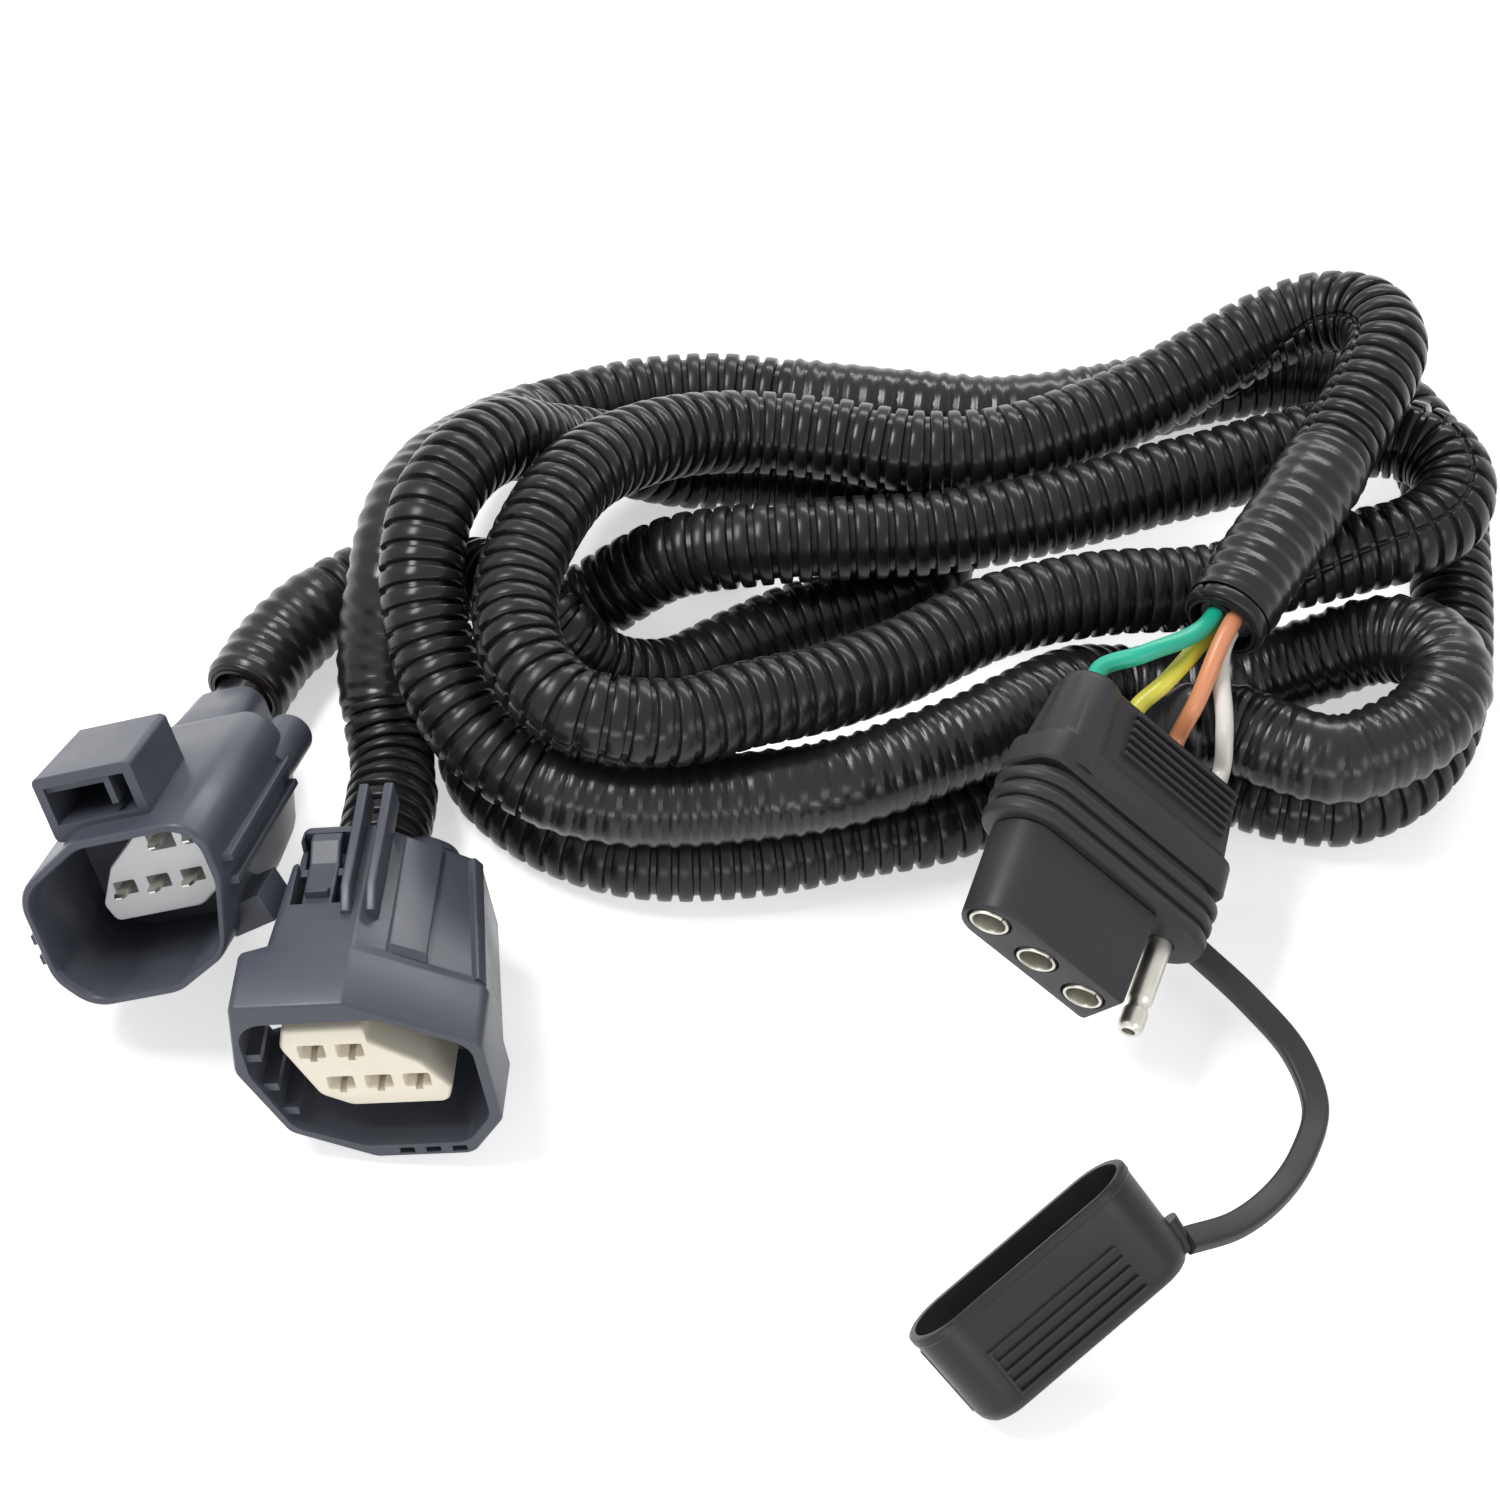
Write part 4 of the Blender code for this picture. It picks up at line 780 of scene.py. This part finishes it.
def build_plug():
    sections = [(y, rectangle(w, h, 3.6 if y < -7 else h / 2 - 0.3)) for y, (w, h) in (
        (-27.0, (36.6, 10.2)), (-26.8, (37.9, 11.3)), (-26.4, (38.9, 12.0)), (-25.8, (39.5, 12.4)),
        (-14.3, (42.8, 13.4)), (-13.9, (43.4, 13.6)), (-13.4, (45.4, 14.3)), (-12.9, (46.0, 14.4)),
        (-7.7, (46.8, 14.8)), (-7.2, (46.2, 14.3)), (-6.9, (44.3, 12.8)), (-5.6, (44.0, 12.6)))]
    sections += lip(-5.3, -2.8, 50, 17) + lip(-2.1, 0.5, 50, 17) + lip(1.1, 4.0, 50, 17)
    overmold = loft("plug_shell", sections, PLUG_POSE, plug_black)
    x = contact_x(0) - 2.0
    boss = [(y, circle(radius, (x, z))) for y, radius, z in (
        (-27.8, 4.0, 1.4), (-27.6, 4.5, 1.4), (-27.0, 5.1, 1.4), (-26.0, 5.5, 1.4), (-9.0, 6.8, 1.0))]
    tools = [(JOIN, loft("wire_boss", boss, PLUG_POSE))]
    for side, face in (("top", 1), ("under", -1)):
        for index in range(6):
            y = -25.6 + 1.6 * index
            low, high = (-4.35, face * 6.2), (-4.35, face * 6.25)
            rows = bars([(y, 26.0, 1.4, 0.3)], low)
            rows += bars([(y + 0.2, 26.3, 2.2, 0.3), (y + 0.4, 26.3, 2.4, 0.3), (y + 0.75, 26.3, 2.3, 0.3)],
                high)
            rows += bars([(y + 0.95, 26.0, 1.4, 0.3)], low)
            ridge = loft(f"ridge_{side}_{index}", rows, PLUG_POSE)
            tools.append((JOIN, ridge))
    tools.append((CUT, prism("pin_seat", circle(2.6, (contact_x(3), 0)), 0, 5, PLUG_POSE)))
    for index in range(4):
        hole_x = WIRE_PITCH * (1.5 - index)
        hole = circle(1.62, (hole_x, WIRE_RISES[index]), 20)
        tools.append((CUT, prism(f"wire_hole_{index}", hole, -30, -25.5, PLUG_POSE)))
    wear(carve(overmold, tools), "harness", "plug_overmold", slot="soft_pvc_black")

    def nose_outline(inset):
        corners = [(-12.6 + inset, -6.5 + inset), (22.2 - inset, -6.5 + inset),
                   (22.2 - inset, 6.5 - inset), (-10.2 + inset, 6.5 - inset)]
        return rounded_outline(corners, [0.8, 5.6, 5.6, 0.8])

    nose = loft("plug_face_block",
        [(4.3, nose_outline(0.0)), (21.3, nose_outline(0.2)), (21.7, nose_outline(0.3)),
        (21.93, nose_outline(0.5)), (22.0, nose_outline(0.75))], PLUG_POSE, plug_black)
    tools = []
    for index in range(3):
        centre = (contact_x(index), 0.0)
        tools.append((CUT, loft(f"sleeve_hole_{index}",
            [(7.2, circle(3.8, centre)), (21.5, circle(3.8, centre)), (23.0, circle(4.6, centre))],
            PLUG_POSE)))
        sleeve = turned(f"sleeve_{index + 1}",
            [(0, 7.5), (3.5, 7.5), (3.5, 21.9), (3.42, 22.25), (3.2, 22.4), (2.95, 22.25), (2.85, 21.8),
            (2.8, 9.0), (0, 9.0)], centre, PLUG_POSE, tin)
        split = block(f"split_{index}", (centre[0] - 0.18, 8.0, 2.0), (centre[0] + 0.18, 23.0, 4.2),
            PLUG_POSE)
        wear(carve(sleeve, [(CUT, split)]), "harness", f"socket_sleeve_{index + 1}", slot="tinned_brass")
    wear(carve(nose, tools), "harness", "plug_nose", slot="soft_pvc_black")
    pin = turned("pin_contact", [(0, 0.3), (2.3, 0.3), (2.3, 15.4), (2.2, 15.8), (1.85, 16.3), (1.8, 16.7),
        (1.85, 17.2), (2.2, 17.7), (2.3, 18.1), (2.3, 20.6), (2.2, 21.2), (1.95, 21.7), (1.6, 22.0),
        (1.2, 21.9), (1.15, 21.6), (1.1, 19.5), (0, 19.5)], (contact_x(3), 0.0), PLUG_POSE, tin)
    wear(carve(pin, []), "harness", "bullet_pin", slot="tinned_brass")


def build_cap():
    shell = [(-9.75, 45.2, 15.6, 7.7), (-9.6, 45.7, 16.1, 7.9), (-9.2, 45.8, 16.2, 8),
        (-8.4, 45.8, 16.2, 8), (-8.1, 45.4, 15.8, 7.8), (7.0, 44.4, 15.0, 7), (8.2, 43.8, 14.4, 6.8),
        (9.1, 42.8, 13.4, 6.4), (9.55, 42.0, 12.6, 6.0), (9.75, 41.2, 11.7, 5.4)]
    hollow = [(-10.8, 43.2, 13.6, 6.7), (-9.6, 42.9, 13.3, 6.5), (-9.2, 42.8, 13.2, 6.4),
        (7.2, 41.6, 12.4, 6), (7.95, 40.6, 11.4, 5.5)]
    cap = loft("cap_shell", bars(shell), CAP_POSE, cap_black)
    tools = []
    for index in range(5):
        y = -1.9 + 2.15 * index
        ridge = [(y, 27, 2.2, 0.2), (y + 0.1, 27, 2.8, 0.2), (y + 0.55, 27, 2.8, 0.2),
            (y + 0.65, 27, 2.2, 0.2)]
        tools.append((JOIN, loft(f"cap_ridge_{index}", bars(ridge, (1, 7.05)), CAP_POSE)))
    tools.append((JOIN, loft("cap_panel_edge",
        [(-1.9, rectangle(0.7, 2.6, 0.2, (14.5, 7.05))), (7.6, rectangle(0.7, 2.5, 0.2, (14.5, 6.9)))],
        CAP_POSE)))
    tools.append((JOIN, loft("parting_line",
        [(-7.0, rectangle(0.5, 0.35, 0.1, (22.62, 0))), (6.6, rectangle(0.5, 0.35, 0.1, (22.15, 0)))],
        CAP_POSE)))
    tools.append((JOIN, loft("cap_web",
        [(3.25, rectangle(5, 4.0, 1.6, (-21.7, 0))), (8.6, rectangle(7.4, 4.5, 1.6, (-19.8, 0))),
        (9.15, rectangle(8, 4.2, 1.6, (-19.5, 0)))], CAP_POSE)))
    tools.append((CUT, loft("cap_hollow", bars(hollow), CAP_POSE)))
    wear(carve(cap, tools), "cap", "dust_cap", slot="cap_rubber_black")


# ---------------------------------------------------------------- sealed vehicle connectors

COLLAR_CORNERS = [(16, -12), (2, -19.5), (-15, -19.5), (-21.5, -11), (-21.5, 9), (0, 20.5), (19.5, 20.5),
    (22, 4)]
COLLAR_RADII = [3, 3, 3, 3, 3, 1.5, 1.5, 4]
MATING_CORNERS = [(14.5, -10.5), (3, -16), (-14, -16), (-19, -9.5), (-19, 8), (-5, 15.5), (19, 15.5),
    (19, 3)]
MATING_RADII = [5, 5, 5, 5, 5, 5, 5, 6]
INSERT_CORNERS = [(14, 7), (9.5, -5.5), (4.5, -8.6), (-12.4, -8.6), (-13.6, -5.0), (-9.5, 1.8), (-1.4, 8.0),
    (-1.4, 11.2), (12.8, 11.2)]
INSERT_RADII = [1.5, 3, 3, 1.5, 1.5, 2, 1.0, 1.2, 1.2]
CAVITIES = [(8.6, 5.8), (2.0, 5.8), (5.2, -2.4), (-1.4, -2.4), (-8.0, -2.4)]


def build_socket():
    pose = SOCKET_POSE
    collar = rounded_outline(COLLAR_CORNERS, COLLAR_RADII)
    waist = rounded_outline([(12.5, -11.5), (2, -18), (-14, -18), (-20.3, -10.5), (-20.3, 8.6), (0, 19.8),
        (15.2, 19.8), (16.2, 4)], COLLAR_RADII)
    tail = rounded_outline([(9.5, -10), (2, -15), (-11, -15), (-16.5, -9), (-16.5, 7.5), (0, 18.2),
        (13, 18.2), (13.5, 3)], COLLAR_RADII)
    housing = loft("socket_shell",
        [(0, scaled(collar, 0.982, 0.982)), (-0.2, scaled(collar, 0.992, 0.992)), (-0.6, collar),
        (-12, collar), (-12.6, scaled(collar, 0.99, 0.995)), (-14.5, waist), (-42.4, tail),
        (-43, scaled(tail, 0.985, 0.985))], pose, housing_grey)
    clear = 1 + 0.4 / 19
    cavity = rounded_outline(scaled(MATING_CORNERS, clear, clear), MATING_RADII)
    wide = scaled(cavity, 1.02, 1.02)
    collar_cut = loft("collar_cut", [(-21, cavity), (-0.7, cavity), (1, wide)], pose)
    guides = [(CUT, block(f"guide_{index}", (19.4 + min(z - 3, 0) / 3 - 2.4, -23, z - 0.9),
        (19.4 + min(z - 3, 0) / 3 + 4, -1.2, z + 0.9), pose)) for index, z in enumerate((-7.7, -1.3, 6.3))]
    carve(collar_cut, guides)
    tools = [(CUT, collar_cut)]
    for index, (x, z) in enumerate(CAVITIES):
        tools.append((CUT, block(f"channel_{index}", (x - 1.5, -34, z - 1.2), (x + 1.5, -20, z + 1.2),
            pose)))
    tools.append((CUT, block("latch_pocket", (3.4, -41.4, 12.6), (12.4, -24.0, 24), pose)))
    tools.append((CUT, block("side_gap", (11.5, -40.4, 14.6), (20, -34, 24), pose)))
    tools.append((CUT, block("parting_groove", (3.4, -21.6, 19.9), (19.0, -21.35, 24), pose)))
    tools.append((CUT, block("parting_return", (3.4, -24.2, 19.9), (3.65, -21.35, 24), pose)))
    for index, x in enumerate((2.2, -2.2)):
        tools.append((JOIN, loft(f"top_rib_{index}",
            [(-49, rectangle(1.7, 5.6, 0.4, (x, 19.2), 4)), (-25, rectangle(1.7, 5.6, 0.4, (x, 19.8), 4)),
            (-21, rectangle(1.7, 3.2, 0.4, (x, 18.8), 4))], pose)))
    band = leaning(rectangle(7.0, 2.0, 0.5, steps=4), 28)
    tools.append((JOIN, loft("side_band",
        [(-42.0, shifted(band, -7.4, 13.1)), (-15.5, shifted(band, -8.2, 15.4)),
        (-14.2, shifted(band, -8.2, 14.4))], pose)))
    post = leaning(rectangle(2.6, 2.4, 0.5, steps=4), 60)
    tools.append((JOIN, loft("side_post",
        [(-42.0, shifted(post, -15.4, 7.9)), (-13.5, shifted(post, -19.3, 8.6))], pose)))
    for index in range(3):
        x = -3.5 - 4.6 * index
        tools.append((CUT, block(f"notch_{index}", (x - 1.3, -3.5, -18.6), (x + 1.3, 1, -17.2), pose)))
    wear(carve(housing, tools), "harness", "socket_housing", slot="housing_nylon_grey")

    corners = [rounded_outline(scaled(INSERT_CORNERS, across, up), INSERT_RADII, 6)
               for across, up in ((1, 1), (0.993, 0.99), (0.975, 0.965), (0.955, 0.935))]
    insert = loft("socket_core", [(-20.7, corners[0]), (-3.6, corners[0]), (-3.0, corners[1]),
        (-2.65, corners[2]), (-2.5, corners[3])], pose, cream)
    tools = []
    for index, (x, z) in enumerate(CAVITIES):
        tools.append((CUT, loft(f"bore_{index}",
            [(-22.7, rectangle(4.3, 2.9, 0.3, (x, z), 3)), (-3.1, rectangle(4.3, 2.9, 0.3, (x, z), 3)),
            (-1.5, rectangle(5.3, 3.9, 0.6, (x, z), 3))], pose)))
        tools.append((CUT, block(f"foot_{index}", (x - 0.6, -22.7, z - 2.5), (x + 0.6, -0.5, z - 0.9),
            pose)))
    wear(carve(insert, tools), "socket_lock", "socket_insert", slot="insert_nylon_cream")

    tail = [(-43.3, rectangle(24, 22, 4, (-1, 0.5))), (-45.5, rectangle(23.2, 21.2, 4.6, (-0.6, 0.5))),
            (-46.8, rectangle(22, 20, 5, (0, 0.5))), (-47.6, rectangle(19.5, 18, 5.6, (1.3, 0.3)))]
    tail += bars([(-48.8, 14, 14, 6.5), (-49.6, 10, 10, 4.6), (-50.3, 8.6, 8.6, 4.2),
        (-60.5, 8.2, 8.2, 4.0)], (4, 0))
    cover = loft("socket_tail", tail, pose, housing_grey)
    wear(carve(cover, []), "harness", "socket_rear_cover", slot="housing_nylon_grey")


def build_pin():
    pose = PIN_POSE
    outline = rounded_outline(mirrored(MATING_CORNERS), [radius + 2.5 for radius in reversed(MATING_RADII)])
    housing = loft("pin_shell", [(0, scaled(outline, 0.975, 0.975)), (-0.2, scaled(outline, 0.99, 0.99)),
        (-0.6, outline), (-31, outline), (-40.5, scaled(outline, 0.95, 0.95)),
        (-42.3, scaled(outline, 0.93, 0.93)), (-43.4, scaled(outline, 0.90, 0.90)),
        (-44, scaled(outline, 0.87, 0.87))], pose, housing_grey)
    inner = 1 - 1.7 / 19
    boss = [(-41, rectangle(18, 16, 4, (-1.5, 5)))]
    boss += bars([(-50, 15, 13, 4), (-59.5, 14, 12, 4), (-60, 13.4, 11.4, 3.8)], (-1.5, 6))
    lug = [(y, circle(radius, (-15.5, 5.0))) for y, radius in ((-50, 3.9), (-49.6, 4.2), (-36, 4.2))]
    hood = bars([(-5.5, 18.6, 12.1, 1.2), (-5.7, 19, 12.5, 1.2)], (1, 19.6))
    hood += bars([(-25.1, 17.5, 11.5, 1.2), (-25.5, 16.9, 10.9, 1.2)], (1, 19.0))
    tools = [(JOIN, loft("rear_boss", boss, pose)), (JOIN, loft("round_lug", lug, pose)),
        (JOIN, loft("hood", hood, pose)),
        (CUT, block("hood_cut", (-6.7, -22.5, 16.6), (8.7, -2, 23.8), pose)),
        (JOIN, block("hood_leg", (-3.6, -14.0, 18.4), (-2.4, -5.9, 24.2), pose)),
        (JOIN, block("hood_ledge", (-2.9, -14.0, 22.4), (9.2, -6.6, 24.2), pose))]
    for index, z in enumerate((5.6, 1.2)):
        tools.append((JOIN, loft(f"rail_{index}",
            [(-38, rectangle(2.4, 1.3, 0.3, (-18.6 + 0.3 * index, z), 4)),
            (-3.5, rectangle(3.6, 1.3, 0.3, (-19.0 + 0.6 * index, z), 4))], pose)))
    tools.append((JOIN, block("clip_lug", (-20.8, -17.0, -10.5), (-12.5, -7.5, -5.0), pose, turn=12)))
    tools.append((CUT, block("clip_slot", (-19.6, -20, -8.7), (-17.6, -9.3, -6.9), pose, turn=12)))
    for index, z in enumerate((-2.0, -6.0)):
        tools.append((JOIN, block(f"tooth_{index}", (17.5, -5.5, z - 0.9), (20.6, -2.0, z + 0.9), pose)))
    tools.append((CUT, loft("shroud_cut",
        [(-25, scaled(outline, inner, inner - 0.02)), (-0.8, scaled(outline, inner, inner - 0.02)),
        (0.8, scaled(outline, inner + 0.05, inner + 0.03))], pose)))
    tools.append((CUT, prism("boss_bore", rectangle(10.5, 8.5, 3, (-1.5, 6)), -62, -52, pose)))
    for index, (x, z) in enumerate(CAVITIES):
        tools.append((CUT, block(f"blade_slot_{index}", (-x - 1.45, -40, z - 0.7),
            (-x + 1.45, -24, z + 0.7), pose)))
    wear(carve(housing, tools), "harness", "pin_housing", slot="housing_nylon_grey")

    corners = mirrored(INSERT_CORNERS)
    radii = [1.2, 1.2, 1.0, 2, 1.5, 1.5, 3, 3, 1.5]
    insert = loft("pin_core", [(-24.7, rounded_outline(corners, radii, 6)),
        (-17.2, rounded_outline(corners, radii, 6)),
        (-16.7, rounded_outline(scaled(corners, 0.985, 0.98), radii, 6)),
        (-16.5, rounded_outline(scaled(corners, 0.965, 0.95), radii, 6))], pose, white)
    tools = []
    for index, (x, z) in enumerate(CAVITIES):
        width, height = (5.0, 4.6) if index < 2 else (4.2, 2.6)
        bore = rectangle(width, height, 0.3, (-x, z), 3)
        tools.append((CUT, prism(f"blade_bore_{index}", bore, -26.7, -14.7, pose)))
    wear(carve(insert, tools), "pin_lock", "pin_insert", slot="insert_nylon_white")


def paint_nodes():
    """The solids that stay get the same finishes."""
    paint = {"socket_latch": housing_grey, "socket_seal": seal_grey, "pin_rear_seal": seal_grey}
    for name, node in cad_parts.items():
        material = tin if "terminal" in name else paint.get(name)
        if material is None or node.hide_render:
            continue
        node.data.materials.clear()
        node.data.materials.append(material)
        for polygon in node.data.polygons:
            polygon.material_index = 0


make_camera()
make_studio()

loom_black = finish("loom_black", (0.013, 0.012, 0.0135), 0.27, patch=45.0, grain=1800.0, depth=0.02,
    edge=0.12, specular=0.24)
tape_black = tape_finish("tape_black", (0.012, 0.012, 0.0135), 0.25, specular=0.34)
plug_black = finish("plug_black", (0.026, 0.025, 0.028), 0.46, patch=60.0, grain=3200.0, depth=0.05,
    edge=0.13, specular=0.26)
cap_black = finish("cap_black", (0.014, 0.013, 0.016), 0.40, patch=60.0, grain=3000.0, depth=0.04,
    edge=0.10, specular=0.28)
housing_grey = finish("housing_grey", (0.058, 0.063, 0.080), 0.36, patch=60.0, grain=2400.0, depth=0.03,
    specular=0.3)
cream = finish("cream", (0.83, 0.79, 0.68), 0.40, mottle=0.0, patch=60.0, depth=0.02,
    warm=(0.80, 0.71, 0.55))
white = finish("white", (0.86, 0.86, 0.86), 0.38, mottle=0.03, patch=60.0, depth=0.02)
tin = finish("tin", (0.60, 0.58, 0.52), 0.36, metallic=1.0, patch=240.0, grain=5200.0, depth=0.03,
    edge=0.12)
seal_grey = finish("seal_grey", (0.09, 0.09, 0.10), 0.6)
wire_paint = {
    "green": finish("wire_green", (0.008, 0.37, 0.24), 0.36, depth=0.02),
    "yellow": finish("wire_yellow", (0.69, 0.62, 0.06), 0.36, depth=0.02),
    "brown": finish("wire_brown", (0.63, 0.25, 0.12), 0.36, depth=0.02),
    "white": finish("wire_white", (0.69, 0.66, 0.60), 0.36, depth=0.02),
    "orange": finish("wire_orange", (0.66, 0.21, 0.08), 0.36, depth=0.02)}

build_cords()
build_strap()
build_plug()
build_cap()
build_socket()
build_pin()
paint_nodes()
